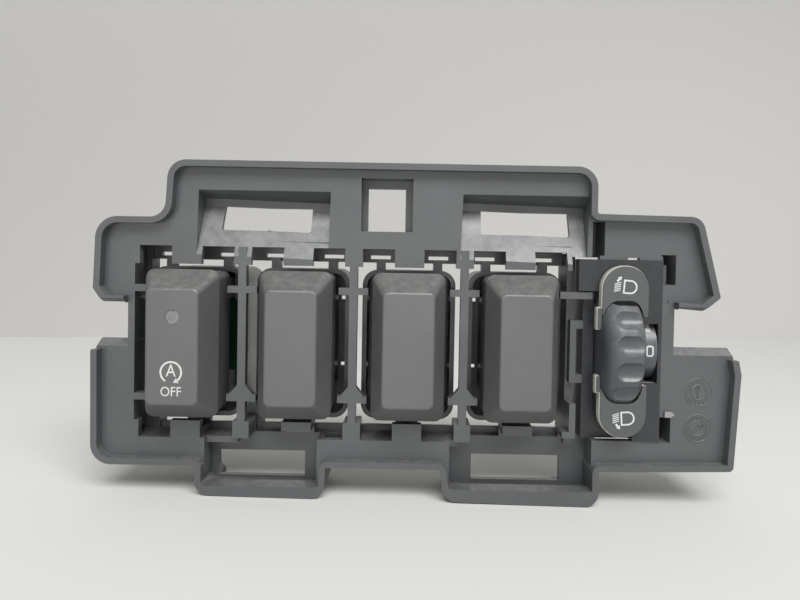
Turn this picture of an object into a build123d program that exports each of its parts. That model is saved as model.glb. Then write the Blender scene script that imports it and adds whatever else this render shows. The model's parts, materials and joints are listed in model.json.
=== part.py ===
"""Dashboard switch panel: carrier frame, push switch, three blanks, headlight levelling wheel.

Millimetres. +X right, +Z up, +Y into the dashboard. The plate's front face is Y = 0 and
X = 0 is the centreline of the middle bay. Z = 0 is just above the bays.
"""

import os
from math import cos, radians, sin

from build123d import *

os.makedirs("parts", exist_ok=True)

# Carrier frame, depths
RIM_FRONT = -3.0
PLATE = 2.4
SKIRT_BACK = 16.5
RIM_WALL = 1.8

# Bays
PITCH = 32.5
BAY_X = [-2 * PITCH, -PITCH, 0.0, PITCH]
BAR_WIDTH = 2.35
BAR_DEPTH = 2.6
BAY_TOP = -2.3
BAY_BOTTOM = -48.2
NOTCH_TOP = 3.0
NOTCH_BOTTOM = -53.2
NOTCH_INNER = 4.3
NOTCH_OUTER = 13.7
STUB_REACH = 4.3
STUB_HEIGHT = 2.0
STUB_UPPER_Z = -9.5
STUB_LOWER_Z = -41.3
STUB_GUSSET = 2.8
WALL_STUB = 3.2
RAIL_FRONT = 12.0
RAIL_WALL = 1.8
RAIL_LOW = -1.0
SLIT_OFFSET = 9.0
SLIT_HALF = 3.1
SLIT_Z = (0.1, 1.2)
PEG_OFFSET = 8.8
PEG_HALF = 1.4
SADDLE_HALF = 3.6
FOOT_HALF = 2.4

# Levelling bay: opening in the frame and the two slots beside it
LEVEL_OPENING_X = (51.4, 73.85)
LEVEL_OPENING_Z = (-51.95, 1.8)
LEVEL_SHIMS = [(55.5, 63.7), (67.2, 73.85)]
LEVEL_SLOTS = [((73.4, 77.7), (-5.9, 2.8)), ((73.4, 77.3), (-52.3, -44.7)), ((53.2, 56.8), (1.7, 12.2))]
SLOT_DEPTH = 9.0
SLOT_WALL = 1.2
SLOT_CASES = [(73.85, -7.1), (73.85, -53.5), (52.0, 1.8)]
LATCH_BAR = ((74.5, 76.2), (-5.9, -0.1))
LATCH_BAR_FRONT = 3.0
LUG = ((75.3, 77.2), (-44.7, -42.9))
LUG_POINT = 78.3
LUG_PROUD = 0.6
THIN_RIB = ((75.5, 75.9), (-16.1, -10.4))
THIN_RIB_PROUD = 0.5
LEVEL_CLIP_Z = (-35.6, -17.1)
LEVEL_CLIP_Y = (3.0, 6.0)
LEVEL_CLIP_BAR = 2.4
LEVEL_ARM = 1.8
LEVEL_STUB_REACH = 3.4
LEVEL_HOOK_Z = (-51.5, -49.6)
LEVEL_HOOK_REACH = 2.0
LEVEL_RIB_Z = (-24.0, -15.0)

# Outline of the frame at the rim, clockwise: x, z, corner radius
TAB_FLOOR_Y = 7.5
OUTLINE = [
    (-69.4, 27.6, 5.4),
    (53.6, 27.6, 5.8),
    (53.6, 14.2, 0.8),
    (83.7, 13.8, 4.2),
    (89.5, -9.3, 0.6),
    (84.8, -13.2, 0.5),
    (77.6, -12.6, 0.3),
    (77.6, -24.3, 0.3),
    (94.3, -24.3, 0.3),
    (95.2, -27.2, 0.3),
    (96.1, -31.4, 0.6),
    (94.5, -59.5, 1.4),
    (55.7, -60.3, 0.6),
    (55.9, -70.7, 4.2),
    (11.2, -69.7, 4.2),
    (9.7, -60.5, 0.6),
    (-23.4, -60.5, 0.6),
    (-23.6, -69.7, 4.2),
    (-61.1, -69.0, 4.2),
    (-61.1, -60.6, 0.6),
    (-91.2, -60.5, 5.8),
    (-91.4, -27.8, 0.6),
    (-90.4, -24.5, 0.4),
    (-82.0, -24.5, 0.3),
    (-82.0, -13.5, 0.3),
    (-88.2, -13.5, 0.6),
    (-90.8, -9.6, 0.6),
    (-90.0, 11.1, 6.4),
    (-70.4, 11.1, 4.6),
]

# Side notches: x limits of notch and lobe, top of the lower lobe, bottom of the upper one
SIDE_NOTCHES = [(-82.0, -97.0, -24.5, -13.5), (77.6, 97.0, -24.3, -13.2)]
NOTCH_RIM_Z = (-27.4, -10.9)
LOBE_SLOPE = (2.0, 2.1)
LOBE_CHAMFER = 1.1
NOTCH_SKIRT_Z = (-31.0, -20.0)

# Clip pockets above the bays: left, right
POCKETS = [(-61.7, -23.3), (15.3, 52.2)]
POCKET_TOP = 19.4
POCKET_INNER_TOP = 18.6
POCKET_LIP = [(3.0, 15.0), (6.0, 16.2)]
POCKET_BACK = 6.6
POCKET_CEILING = 17.0
POCKET_TILT = 1.6
RAMP_FOOT = 0.0
RAMP_HEAD = 14.6
RAMP_WALL = 1.8
CLIP_WINDOW_X = 26.2
CLIP_WINDOW_LOW = 7.9
CLIP_WINDOW_HIGH = 14.8
CLIP_WINDOW_OFFSET = [-0.1, 0.7]

# Square hole above the middle bay
SQUARE_X = (-14.4, 0.7)
SQUARE_Z = (8.1, 23.6)
SQUARE_BACK = 6.0
SQUARE_INNER_X = (-12.7, -1.5)
SQUARE_INNER_TOP = 21.2

# Tab recesses and their windows: left, right
TABS = [(-59.3, -26.3), (12.6, 54.3)]
TAB_RECESS_TOP = -50.9
TAB_RECESS_BOTTOM = -66.2
TAB_RIM_X = [(-62.0, -23.0), (10.0, 57.0)]
TAB_RIM_Z = (-72.0, -66.2)
TAB_GAP_Z = (-75.0, -60.0)
TAB_WINDOWS = [(-57.7, -30.9), (19.9, 46.8)]
TAB_WINDOW_Z = (-66.6, -58.9)

# Switch keys and blank caps
CAP_Z = -25.1
CAP_FACE_Y = -11.0
CAP_BASE_Y = -3.0
CAP_SKIRT_END = 8.5
CAP_SPIGOT_END = 14.0
CAP_BASE = (21.0, 42.6)
CAP_FACE = (14.2, 31.9)
CAP_SKIRT = (20.4, 41.6)
CAP_WALL = 1.4
CAP_FACE_CORNER = 1.8
CAP_BASE_CORNER = 2.6
CAP_SKIRT_CORNER = 2.3
CAP_EDGE = 0.8
SPIGOT_OFFSET = 8.0
SPIGOT_HALF = 1.6
SPIGOT_HEIGHT = 32.0
SPIGOT_ROOT = 4.0
SPIGOT_SEAT_HEIGHT = 28.0

# Switch housings
HOUSING_Z = -26.2
HOUSING = (28.6, 46.0)
HOUSING_RADIUS = 4.6
HOUSING_FRONT = 10.0
HOUSING_WALL = 1.4
BLANK_BACK = 24.0
BUTTON_BACK = 34.0
HOOK_HOLE_X = 11.2
HOOK_HOLE_Z = (-12.7, -34.6)
HOOK_HOLE = (1.6, 1.2)

# Running clearances
RUN = 0.4
PIN_PLAY = 0.05

# Key pivot near its upper end
PIVOT_Y = 16.5
PIVOT_Z = -9.5
PIN_RADIUS = 1.5
PIN_END = 12.4
EAR_FACE = 10.2
EAR_HALF = 3.0
EAR_ROOT = 5.0
BEARING_HALF = 4.0

# Key plunger over the dome, lens and light guide
PLUNGER_END = 24.2
PLUNGER_HALF = 2.0
PLUNGER_Z = (-45.2, -41.0)
LENS_Z = -16.7
LENS_RADIUS = 1.6
LENS_FIT = 0.03
LENS_PROUD = 0.1
SIGN_Z = -32.0
GUIDE_HALF = 4.6
GUIDE_DEPTH = 3.0
GUIDE_Z = (-39.0, -14.0)
GUIDE_STEM_HALF = 2.0
GUIDE_STEM_END = 12.0
GUIDE_STEM_Z = (-32.0, -18.0)

# Boards, dome mat and lamps
BOARD = 1.6
BUTTON_BOARD_SET = 4.0
BUTTON_BOARD = (24.0, 41.0)
LEVEL_BOARD_SET = 3.4
LEVEL_BOARD_EDGE = 2.2
MAT = 1.2
MAT_HALF = 6.0
MAT_Z = (-46.2, -38.5)
DOME_Z = -42.6
DOME_FOOT = 2.8
DOME_TIP = 1.8
DOME_HEIGHT = 2.6
LAMP = (2.8, 1.0, 2.0)

# Rear covers, sockets and pins
COVER = 1.6
POST_HALF = 1.2
POST_INSET = (4.5, 5.5)
SOCKET_DEPTH = 12.0
SOCKET_WALL = 1.2
SOCKET_CORNER = 1.0
BUTTON_SOCKET = (16.0, 11.0)
LEVEL_SOCKET = (9.0, 14.0)
PIN_SIDE = 0.8
PIN_FIT = 0.05
PIN_SET = 5.0
BUTTON_PIN_PITCH = (2.5, 4.0)
LEVEL_PIN_PITCH = 3.0

# Levelling housing
LEVEL_X = (51.8, 73.8)
LEVEL_Z = (-51.9, 1.2)
LEVEL_FACE = 3.0
LEVEL_BACK = 32.0
LEVEL_WALL = 1.4
LEVEL_THIN_WALL = 1.0
LEVEL_CORNER = 0.8
LEVEL_HEAD_X = 49.4
LEVEL_HEAD_Y = -0.6
LEVEL_HEAD_Z = -8.0
LEVEL_COLUMN_X = 66.0
DRUM_WINDOW_X = (66.0, 72.8)
DRUM_WINDOW_Z = (-34.8, -17.3)

# Symbol plates and their light guides
BEZEL_X = (55.3, 68.2)
BEZEL_Z = (-49.7, -0.7)
BEZEL_FRONT = -4.4
BEZEL = 0.8
GUIDE_BACK = -1.2
GUIDE_EDGE = 0.25
GUIDE_SIDE = 1.4
GUIDE_TAB_FRONT = -3.2
UPPER_PLATE_Z = (-15.0, 1.0)
UPPER_TAB_Z = (-19.0, -12.5)
LOWER_PLATE_Z = (-51.0, -34.9)
LOWER_TAB_Z = (-37.2, -32.1)

# Thumbwheel and number drum
WHEEL_Y = 8.2
WHEEL_Z = -25.2
WHEEL_RADIUS = 19.0
WHEEL_X = (55.4, 66.7)
WHEEL_EDGES = (5.0, 4.0)
WHEEL_PIN = 2.0
PIN_SHORT = 0.5
DRUM_RADIUS = 9.5
DRUM_X = (66.7, 72.4)
SCALLOPS = 16
SCALLOP_START = 7.8
SCALLOP_RADIUS = 3.4
SCALLOP_OFFSET = 1.7
SCALLOP_X = (60.4, 64.2)

# Wiper, resistor track and detent spring
WIPER = 0.25
WIPER_RADII = (6.0, 10.0)
WIPER_SPREAD = 12.0
WIPER_START = 2.0
TRACK_BOARD = 0.6
TRACK_HALF = 11.5
LEVEL_LAMP_X = 61.0
LEVEL_LAMP_Z = -4.5
SPRING_X = (67.4, 71.4)
SPRING_HALF = 9.0
SPRING_SHEET = 0.4
SPRING_GAP = 0.6


def upright(depth):
    """Upright plane at a depth behind the plate's front face."""
    return Plane.XZ.offset(-depth)


def block(x_range, y_range, z_range, mode=Mode.ADD):
    """Box given by its limits."""
    size = [high - low for low, high in (x_range, y_range, z_range)]
    centre = [(high + low) / 2 for low, high in (x_range, y_range, z_range)]
    with Locations(tuple(centre)):
        Box(*size, mode=mode)


def around(centre, half):
    """Limits at equal distances from a centre."""
    return (centre - half, centre + half)


def disc(x_range, y, z, radius, mode=Mode.ADD):
    """Cylinder lying along X."""
    with Locations(Location(((x_range[0] + x_range[1]) / 2, y, z), (0, 90, 0))):
        Cylinder(radius, x_range[1] - x_range[0], mode=mode)


def frame_outline(inset=0.0):
    """Outline of the carrier with its rounded corners, at Y = 0."""
    with BuildSketch(upright(0)) as sketch:
        with BuildLine():
            Polyline(*[(x, z) for x, z, _ in OUTLINE], close=True)
        make_face()
        for x, z, radius in OUTLINE:
            corner = sketch.vertices().sort_by_distance((x, z, 0))[0]
            fillet(corner, radius=radius)
        if inset:
            offset(amount=-inset, mode=Mode.REPLACE)
    return sketch.sketch


def rounded_box(centre, size, radius, front, back, mode=Mode.ADD):
    """Upright rounded rectangle between two depths."""
    with BuildSketch(upright(back)) as sketch:
        with Locations(centre):
            RectangleRounded(*size, radius)
    extrude(sketch.sketch, amount=back - front, mode=mode)


def rounded_loft(centre, near, far, mode=Mode.ADD):
    """Loft between two rounded rectangles, each given as size, radius and depth."""
    faces = []
    for size, radius, depth in (far, near):
        with BuildSketch(upright(depth)) as sketch:
            with Locations(centre):
                RectangleRounded(*size, radius)
        faces.append(sketch.sketch)
    loft(faces, mode=mode)


def prism(profile, x_range):
    """Solid along X from a profile of (y, z) points."""
    with BuildPart() as part:
        with BuildSketch(Plane.YZ.offset(x_range[0])):
            with BuildLine():
                Polyline(*profile, close=True)
            make_face()
        extrude(amount=x_range[1] - x_range[0])
    return part.part


outer_face = frame_outline()
inner_face = frame_outline(RIM_WALL)
bay_half = (PITCH - BAR_WIDTH) / 2
rail_back = RAIL_FRONT + RAIL_WALL
seat_top = HOUSING_Z + HOUSING[1] / 2
seat_bottom = HOUSING_Z - HOUSING[1] / 2

# Material behind the plate: walls of the clip pockets, the square hole and the tab recesses
with BuildPart() as backing:
    for left, right in POCKETS:
        block((left - RAMP_WALL, right + RAMP_WALL), (PLATE, POCKET_BACK + RAMP_WALL),
              (NOTCH_TOP, POCKET_TOP + RAMP_WALL))
    block((SQUARE_X[0] - RAMP_WALL, SQUARE_X[1] + RAMP_WALL), (PLATE, SQUARE_BACK + RAMP_WALL),
          (SQUARE_Z[0] - RAMP_WALL, SQUARE_Z[1] + RAMP_WALL))
    for left, right in TABS:
        block((left - RIM_WALL, right + RIM_WALL), (PLATE, TAB_FLOOR_Y + RIM_WALL),
              (TAB_WINDOW_Z[0] - 2 * RIM_WALL, TAB_RECESS_TOP))
    for (slot_x, slot_z), (left, low) in zip(LEVEL_SLOTS, SLOT_CASES):
        case_x = (left, slot_x[1] + SLOT_WALL)
        block(case_x, (PLATE, SLOT_DEPTH + SLOT_WALL), (low, slot_z[1] + SLOT_WALL))
    extrude(outer_face, amount=-SKIRT_BACK, mode=Mode.INTERSECT)

# Spaces of the clip pockets, with the ramp left standing
with BuildPart() as pockets:
    for (left, right), shift in zip(POCKETS, CLIP_WINDOW_OFFSET):
        middle = (left + right) / 2
        tilt = Axis((middle, 0, POCKET_TOP), (0, 1, 0))
        front = prism(
            [
                (-1, RAMP_FOOT),
                (0, RAMP_FOOT),
                (POCKET_BACK, RAMP_HEAD),
                (POCKET_BACK, POCKET_CEILING),
                (0, POCKET_INNER_TOP),
                (-1, POCKET_INNER_TOP),
            ],
            (left, right),
        )
        lip = prism(
            [
                (-1, POCKET_LIP[0][1]),
                *POCKET_LIP,
                (0, POCKET_TOP),
                (-1, POCKET_TOP),
            ],
            (left, right),
        )
        rear = prism(
            [
                (RAMP_WALL, RAMP_FOOT - 3),
                (RAMP_WALL, RAMP_FOOT),
                (POCKET_BACK + RAMP_WALL, RAMP_HEAD),
                (SKIRT_BACK, RAMP_HEAD),
                (SKIRT_BACK, RAMP_FOOT - 3),
            ],
            (left, right),
        )
        add(front.rotate(tilt, POCKET_TILT))
        add(lip)
        add(rear.rotate(tilt, POCKET_TILT))
        with BuildPart() as window:
            window_x = around(middle + shift, CLIP_WINDOW_X / 2)
            block(window_x, (-1, SKIRT_BACK), (CLIP_WINDOW_LOW, CLIP_WINDOW_HIGH))
        add(window.part.rotate(tilt, POCKET_TILT))

# Recesses of the two tabs
with BuildPart() as tab_recesses:
    for left, right in TABS:
        block((left, right), (-1, TAB_FLOOR_Y), (TAB_RECESS_BOTTOM, BAY_BOTTOM))
        block((left, right), (PLATE, TAB_FLOOR_Y), (TAB_WINDOW_Z[0] - RIM_WALL, BAY_BOTTOM))
    extrude(inner_face, amount=-SKIRT_BACK, both=True, mode=Mode.INTERSECT)

# Straight openings
with BuildPart() as openings:
    block(SQUARE_X, (-1, SQUARE_BACK), SQUARE_Z)
    block(SQUARE_INNER_X, (-1, SKIRT_BACK), (SQUARE_Z[0], SQUARE_INNER_TOP))
    for window_x in TAB_WINDOWS:
        block(window_x, (-1, SKIRT_BACK), TAB_WINDOW_Z)
    for x in BAY_X:
        block(around(x, bay_half), (-1, SKIRT_BACK), (BAY_BOTTOM, BAY_TOP))
        for side in (-1, 1):
            notch_x = sorted((x + side * NOTCH_INNER, x + side * NOTCH_OUTER))
            block(notch_x, (-1, SKIRT_BACK), (NOTCH_BOTTOM, NOTCH_TOP))
    block((BAY_X[-1] + bay_half, LEVEL_OPENING_X[1]), (-1, SKIRT_BACK), LEVEL_OPENING_Z)
    block((BAY_X[-1] + bay_half, LEVEL_OPENING_X[0] + 1), (-1, SKIRT_BACK), (BAY_BOTTOM, BAY_TOP))
    for slot_x, slot_z in LEVEL_SLOTS:
        block(slot_x, (-1, SLOT_DEPTH), slot_z)

# Rails behind the bays, slits in them, and the pegs that seat the housings
with BuildPart() as rails:
    rail_x = (BAY_X[0] - bay_half - 0.5, BAY_X[-1] + bay_half)
    block(rail_x, (RAIL_FRONT, rail_back), (RAIL_LOW, NOTCH_TOP + RAIL_WALL))
    block(rail_x, (PLATE - 0.2, rail_back), (NOTCH_TOP, NOTCH_TOP + RAIL_WALL))
    block(rail_x, (TAB_FLOOR_Y, rail_back), (NOTCH_BOTTOM - RAIL_WALL, NOTCH_BOTTOM))
    for x in BAY_X:
        for side in (-1, 1):
            block(around(x + side * PEG_OFFSET, PEG_HALF), (RAIL_FRONT - 1, rail_back), (seat_top, 0))
            slit_x = around(x + side * SLIT_OFFSET, SLIT_HALF)
            block(slit_x, (RAIL_FRONT - 2, rail_back + 1), SLIT_Z, mode=Mode.SUBTRACT)
        block(around(x, SADDLE_HALF), (RAIL_FRONT, rail_back), (NOTCH_BOTTOM, seat_bottom))
    for x in BAY_X[0::2]:
        block(around(x, bay_half), (PLATE - 0.5, rail_back), (NOTCH_BOTTOM - RAIL_WALL, NOTCH_BOTTOM))
    for x in BAY_X[1::2]:
        block(around(x, NOTCH_INNER), (0, TAB_FLOOR_Y + 1), (TAB_RECESS_TOP, BAY_BOTTOM))

# Bars between the bays with stubs and widened feet
with BuildPart() as bars:
    for index in range(3):
        bar = BAY_X[index] + PITCH / 2
        block(around(bar, BAR_WIDTH / 2), (0, BAR_DEPTH), (NOTCH_BOTTOM, NOTCH_TOP))
        for stub_z in (STUB_UPPER_Z, STUB_LOWER_Z):
            block(around(bar, STUB_REACH), (0, BAR_DEPTH), around(stub_z, STUB_HEIGHT / 2))
        with BuildSketch(upright(BAR_DEPTH)) as gusset:
            with BuildLine():
                Polyline(
                    (bar - STUB_REACH, STUB_LOWER_Z),
                    (bar + STUB_REACH, STUB_LOWER_Z),
                    (bar + BAR_WIDTH / 2, STUB_LOWER_Z + STUB_HEIGHT / 2 + STUB_GUSSET),
                    (bar - BAR_WIDTH / 2, STUB_LOWER_Z + STUB_HEIGHT / 2 + STUB_GUSSET),
                    close=True,
                )
            make_face()
        extrude(gusset.sketch, amount=BAR_DEPTH)
        block(around(bar, FOOT_HALF), (0, TAB_FLOOR_Y + 1), (NOTCH_BOTTOM, BAY_BOTTOM))
    left_wall = BAY_X[0] - bay_half
    for stub_z in (STUB_UPPER_Z, STUB_LOWER_Z):
        block((left_wall - RIM_WALL, left_wall + WALL_STUB), (0, BAR_DEPTH), around(stub_z, STUB_HEIGHT / 2))

# Wall beside the levelling bay, with the clip and the hook that hold its housing
with BuildPart() as level_wall:
    wall_x = (BAY_X[-1] + bay_half, BAY_X[-1] + bay_half + BAR_WIDTH)
    block(wall_x, (LEVEL_CLIP_Y[1], SKIRT_BACK), (NOTCH_BOTTOM - RAIL_WALL, LEVEL_OPENING_Z[1] + 1))
    stub_x = (wall_x[0] - LEVEL_STUB_REACH, LEVEL_X[0] + LEVEL_ARM)
    block(stub_x, (0, BAR_DEPTH), around(STUB_UPPER_Z, STUB_HEIGHT / 2))
    block((wall_x[1] - LEVEL_ARM, wall_x[1]), (0, LEVEL_CLIP_Y[1]), around(STUB_UPPER_Z, STUB_HEIGHT / 2))
    block((wall_x[1] - LEVEL_ARM, LEVEL_X[0]), LEVEL_CLIP_Y, LEVEL_CLIP_Z)
    clip_gap = (LEVEL_CLIP_Z[0] + LEVEL_CLIP_BAR, LEVEL_CLIP_Z[1] - LEVEL_CLIP_BAR)
    block((wall_x[1], LEVEL_X[0]), (LEVEL_CLIP_Y[0] - 1, LEVEL_CLIP_Y[1] + 1), clip_gap, mode=Mode.SUBTRACT)
    arm_x = (wall_x[0], wall_x[0] + LEVEL_ARM)
    block(arm_x, (0, LEVEL_CLIP_Y[1]), (LEVEL_HOOK_Z[0], STUB_LOWER_Z))
    block((arm_x[0] - LEVEL_HOOK_REACH, arm_x[1]), (0, LEVEL_CLIP_Y[1]), LEVEL_HOOK_Z)
    block((LEVEL_X[1], LEVEL_OPENING_X[1] + 0.5), (PLATE, RAIL_FRONT), LEVEL_RIB_Z)
    for shim in LEVEL_SHIMS:
        block(shim, (0, PLATE), (LEVEL_Z[1], LEVEL_OPENING_Z[1] + 0.5))

# Latch bar, pointed lug and thin rib beside the levelling housing
with BuildPart() as latches:
    block(LATCH_BAR[0], (LATCH_BAR_FRONT, SLOT_DEPTH + 0.5), LATCH_BAR[1])
    block(THIN_RIB[0], (-THIN_RIB_PROUD, 0.5), THIN_RIB[1])
    with BuildSketch(upright(0.5)) as lug:
        with BuildLine():
            Polyline(
                (LUG[0][0], LUG[1][0]),
                (LUG[0][1], LUG[1][0]),
                (LUG_POINT, sum(LUG[1]) / 2),
                (LUG[0][1], LUG[1][1]),
                (LUG[0][0], LUG[1][1]),
                close=True,
            )
        make_face()
    extrude(lug.sketch, amount=LUG_PROUD + 0.5)

# Wide lower rims of the tabs
with BuildPart() as tab_rims:
    for rim_x in TAB_RIM_X:
        block(rim_x, (RIM_FRONT, PLATE), TAB_RIM_Z)
    extrude(outer_face.moved(Location((0, PLATE, 0))), amount=PLATE - RIM_FRONT, mode=Mode.INTERSECT)

# Plain edges of the side notches: no rim, sloped top on the lower lobe, chamfer under the upper one
with BuildPart() as notch_cuts:
    for notch_x, far_x, top, bottom in SIDE_NOTCHES:
        side = 1 if notch_x > 0 else -1
        across = sorted((notch_x - side * 2 * RIM_WALL, far_x))
        block(across, (RIM_FRONT - 1, 0), (NOTCH_RIM_Z[0], top + 1))
        block(sorted((notch_x - side * 2 * RIM_WALL, notch_x)), (RIM_FRONT - 1, 0), NOTCH_RIM_Z)
        block(sorted((notch_x, far_x)), (PLATE, SKIRT_BACK + 1), NOTCH_SKIRT_Z)
        slope = [(0, top - LOBE_SLOPE[1]), (LOBE_SLOPE[0], top), (LOBE_SLOPE[0], top + 1), (0, top + 1)]
        add(prism(slope, sorted((notch_x, far_x))))
        low = bottom - 1
        under = [(RIM_FRONT, bottom + LOBE_CHAMFER), (RIM_FRONT + LOBE_CHAMFER + 1, low), (RIM_FRONT, low)]
        add(prism(under, sorted((notch_x, far_x))))

with BuildPart() as carrier_frame:
    extrude(outer_face.moved(Location((0, SKIRT_BACK, 0))), amount=SKIRT_BACK - RIM_FRONT)
    extrude(inner_face, amount=-RIM_FRONT, mode=Mode.SUBTRACT)
    extrude(inner_face.moved(Location((0, SKIRT_BACK, 0))), amount=SKIRT_BACK - PLATE, mode=Mode.SUBTRACT)
    add(backing.part)
    add(pockets.part, mode=Mode.SUBTRACT)
    add(tab_recesses.part, mode=Mode.SUBTRACT)
    add(openings.part, mode=Mode.SUBTRACT)
    add(rails.part)
    add(bars.part)
    add(level_wall.part)
    add(latches.part)
    add(notch_cuts.part, mode=Mode.SUBTRACT)
    add(tab_rims.part)
    for window_x in TAB_WINDOWS:
        block(window_x, (TAB_FLOOR_Y + RIM_WALL, SKIRT_BACK + 1), TAB_GAP_Z, mode=Mode.SUBTRACT)


def hollow_cap(x):
    """Bevelled cap with its hollow skirt, shared by the key and the blanks."""
    with BuildPart() as cap:
        near = (CAP_FACE, CAP_FACE_CORNER, CAP_FACE_Y)
        far = (CAP_BASE, CAP_BASE_CORNER, CAP_BASE_Y)
        rounded_loft((x, CAP_Z), near, far)
        fillet(cap.faces().sort_by(Axis.Y)[0].edges(), radius=CAP_EDGE)
        rounded_box((x, CAP_Z), CAP_SKIRT, CAP_SKIRT_CORNER, CAP_BASE_Y, CAP_SKIRT_END)
        inner = [side - 2 * CAP_WALL for side in CAP_SKIRT]
        corner = CAP_SKIRT_CORNER - CAP_WALL
        rounded_box((x, CAP_Z), inner, corner, CAP_BASE_Y, CAP_SKIRT_END, mode=Mode.SUBTRACT)
        roof = ([side - 2 * CAP_WALL for side in CAP_FACE], CAP_FACE_CORNER - CAP_WALL, CAP_FACE_Y + CAP_WALL)
        rounded_loft((x, CAP_Z), roof, (inner, corner, CAP_BASE_Y), mode=Mode.SUBTRACT)
    return cap.part


def open_housing(x, back):
    """Tray-shaped black housing behind a cap."""
    inner = [side - 2 * HOUSING_WALL for side in HOUSING]
    rounded_box((x, HOUSING_Z), HOUSING, HOUSING_RADIUS, HOUSING_FRONT, back)
    rounded_box((x, HOUSING_Z), inner, HOUSING_RADIUS - HOUSING_WALL, HOUSING_FRONT, back, mode=Mode.SUBTRACT)


pieces = {"carrier_frame": carrier_frame.part}

# Blanks
for number, x in enumerate(BAY_X[1:], 1):
    with BuildPart() as blank_cap:
        add(hollow_cap(x))
        for side in (-1, 1):
            spigot_x = around(x + side * SPIGOT_OFFSET, SPIGOT_HALF)
            block(spigot_x, (CAP_SKIRT_END - SPIGOT_ROOT, CAP_SPIGOT_END), around(CAP_Z, SPIGOT_HEIGHT / 2))
    with BuildPart() as blank_housing:
        open_housing(x, BLANK_BACK)
        rounded_box((x, HOUSING_Z), HOUSING, HOUSING_RADIUS, BLANK_BACK - HOUSING_WALL, BLANK_BACK)
        for side in (-1, 1):
            seat_x = around(x + side * SPIGOT_OFFSET, SPIGOT_HALF)
            block(seat_x, (CAP_SPIGOT_END, BLANK_BACK), around(CAP_Z, SPIGOT_SEAT_HEIGHT / 2))
            hole_x = around(x + side * HOOK_HOLE_X, HOOK_HOLE[0] / 2)
            for hole_z in HOOK_HOLE_Z:
                hole = around(hole_z, HOOK_HOLE[1] / 2)
                block(hole_x, (BLANK_BACK - 2 * HOUSING_WALL, BLANK_BACK + 1), hole, mode=Mode.SUBTRACT)
    pieces[f"blank_{number}_cap"] = blank_cap.part
    pieces[f"blank_{number}_housing"] = blank_housing.part

# Stop/start switch
key_x = BAY_X[0]
ear = (EAR_FACE - CAP_WALL, EAR_FACE)
with BuildPart() as button_cap:
    add(hollow_cap(key_x))
    for side in (-1, 1):
        ear_x = sorted(key_x + side * limit for limit in ear)
        block(ear_x, (CAP_SKIRT_END - EAR_ROOT, PIVOT_Y + EAR_HALF), around(PIVOT_Z, EAR_HALF))
        pin_x = sorted(key_x + side * limit for limit in (EAR_FACE - CAP_WALL / 2, PIN_END))
        disc(pin_x, PIVOT_Y, PIVOT_Z, PIN_RADIUS)
    block(around(key_x, PLUNGER_HALF), (CAP_SKIRT_END - EAR_ROOT, PLUNGER_END), PLUNGER_Z)
    with Locations(Location((key_x, CAP_FACE_Y, LENS_Z), (90, 0, 0))):
        Cylinder(LENS_RADIUS + LENS_FIT, 4 * CAP_WALL, mode=Mode.SUBTRACT)

with BuildPart() as indicator_lens:
    lens_back = CAP_FACE_Y + CAP_WALL
    lens_front = CAP_FACE_Y - LENS_PROUD
    with Locations(Location((key_x, (lens_front + lens_back) / 2, LENS_Z), (90, 0, 0))):
        Cylinder(LENS_RADIUS, lens_back - lens_front)

with BuildPart() as symbol_light_guide:
    block(around(key_x, GUIDE_HALF), (lens_back, lens_back + GUIDE_DEPTH), GUIDE_Z)
    block(around(key_x, GUIDE_STEM_HALF), (lens_back, GUIDE_STEM_END), GUIDE_STEM_Z)

with BuildPart() as button_housing:
    open_housing(key_x, BUTTON_BACK)
    for side in (-1, 1):
        bearing_x = sorted(key_x + side * limit for limit in (EAR_FACE + RUN, (HOUSING[0] - HOUSING_WALL) / 2))
        block(bearing_x, around(PIVOT_Y, BEARING_HALF), around(PIVOT_Z, BEARING_HALF))
        bore_x = sorted(key_x + side * limit for limit in (EAR_FACE, PIN_END + RUN))
        disc(bore_x, PIVOT_Y, PIVOT_Z, PIN_RADIUS + PIN_PLAY, mode=Mode.SUBTRACT)

board_front = BUTTON_BACK - BUTTON_BOARD_SET
board_back = board_front + BOARD
with BuildPart() as button_board:
    half_width, half_height = [side / 2 for side in BUTTON_BOARD]
    block(around(key_x, half_width), (board_front, board_back), around(HOUSING_Z, half_height))

with BuildPart() as dome_mat:
    block(around(key_x, MAT_HALF), (board_front - MAT, board_front), MAT_Z)
    with Locations(Location((key_x, board_front - MAT, DOME_Z), (90, 0, 0))):
        Cone(DOME_FOOT, DOME_TIP, DOME_HEIGHT, align=(Align.CENTER, Align.CENTER, Align.MIN))

with BuildPart() as button_lamps:
    for lamp_z in (LENS_Z, SIGN_Z):
        block(around(key_x, LAMP[0] / 2), (board_front - LAMP[1], board_front), around(lamp_z, LAMP[2] / 2))


def rear_cover(centre, size, radius, front, board, socket, pins):
    """Rear cover with posts to the board, a socket and holes for its pins."""
    with BuildPart() as cover:
        rounded_box(centre, size, radius, front, front + COVER)
        socket_end = front + COVER + SOCKET_DEPTH
        rounded_box(centre, socket, SOCKET_CORNER, front + COVER, socket_end)
        inside = [side - 2 * SOCKET_WALL for side in socket]
        rounded_box(centre, inside, SOCKET_CORNER / 2, front + COVER, socket_end, mode=Mode.SUBTRACT)
        for side_x in (-1, 1):
            for side_z in (-1, 1):
                post_x = centre[0] + side_x * (size[0] / 2 - POST_INSET[0])
                post_z = centre[1] + side_z * (size[1] / 2 - POST_INSET[1])
                block(around(post_x, POST_HALF), (board, front), around(post_z, POST_HALF))
        for pin_x, pin_z in pins:
            hole = PIN_SIDE / 2 + PIN_FIT
            block(around(pin_x, hole), (board, front + COVER), around(pin_z, hole), mode=Mode.SUBTRACT)
    return cover.part


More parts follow.
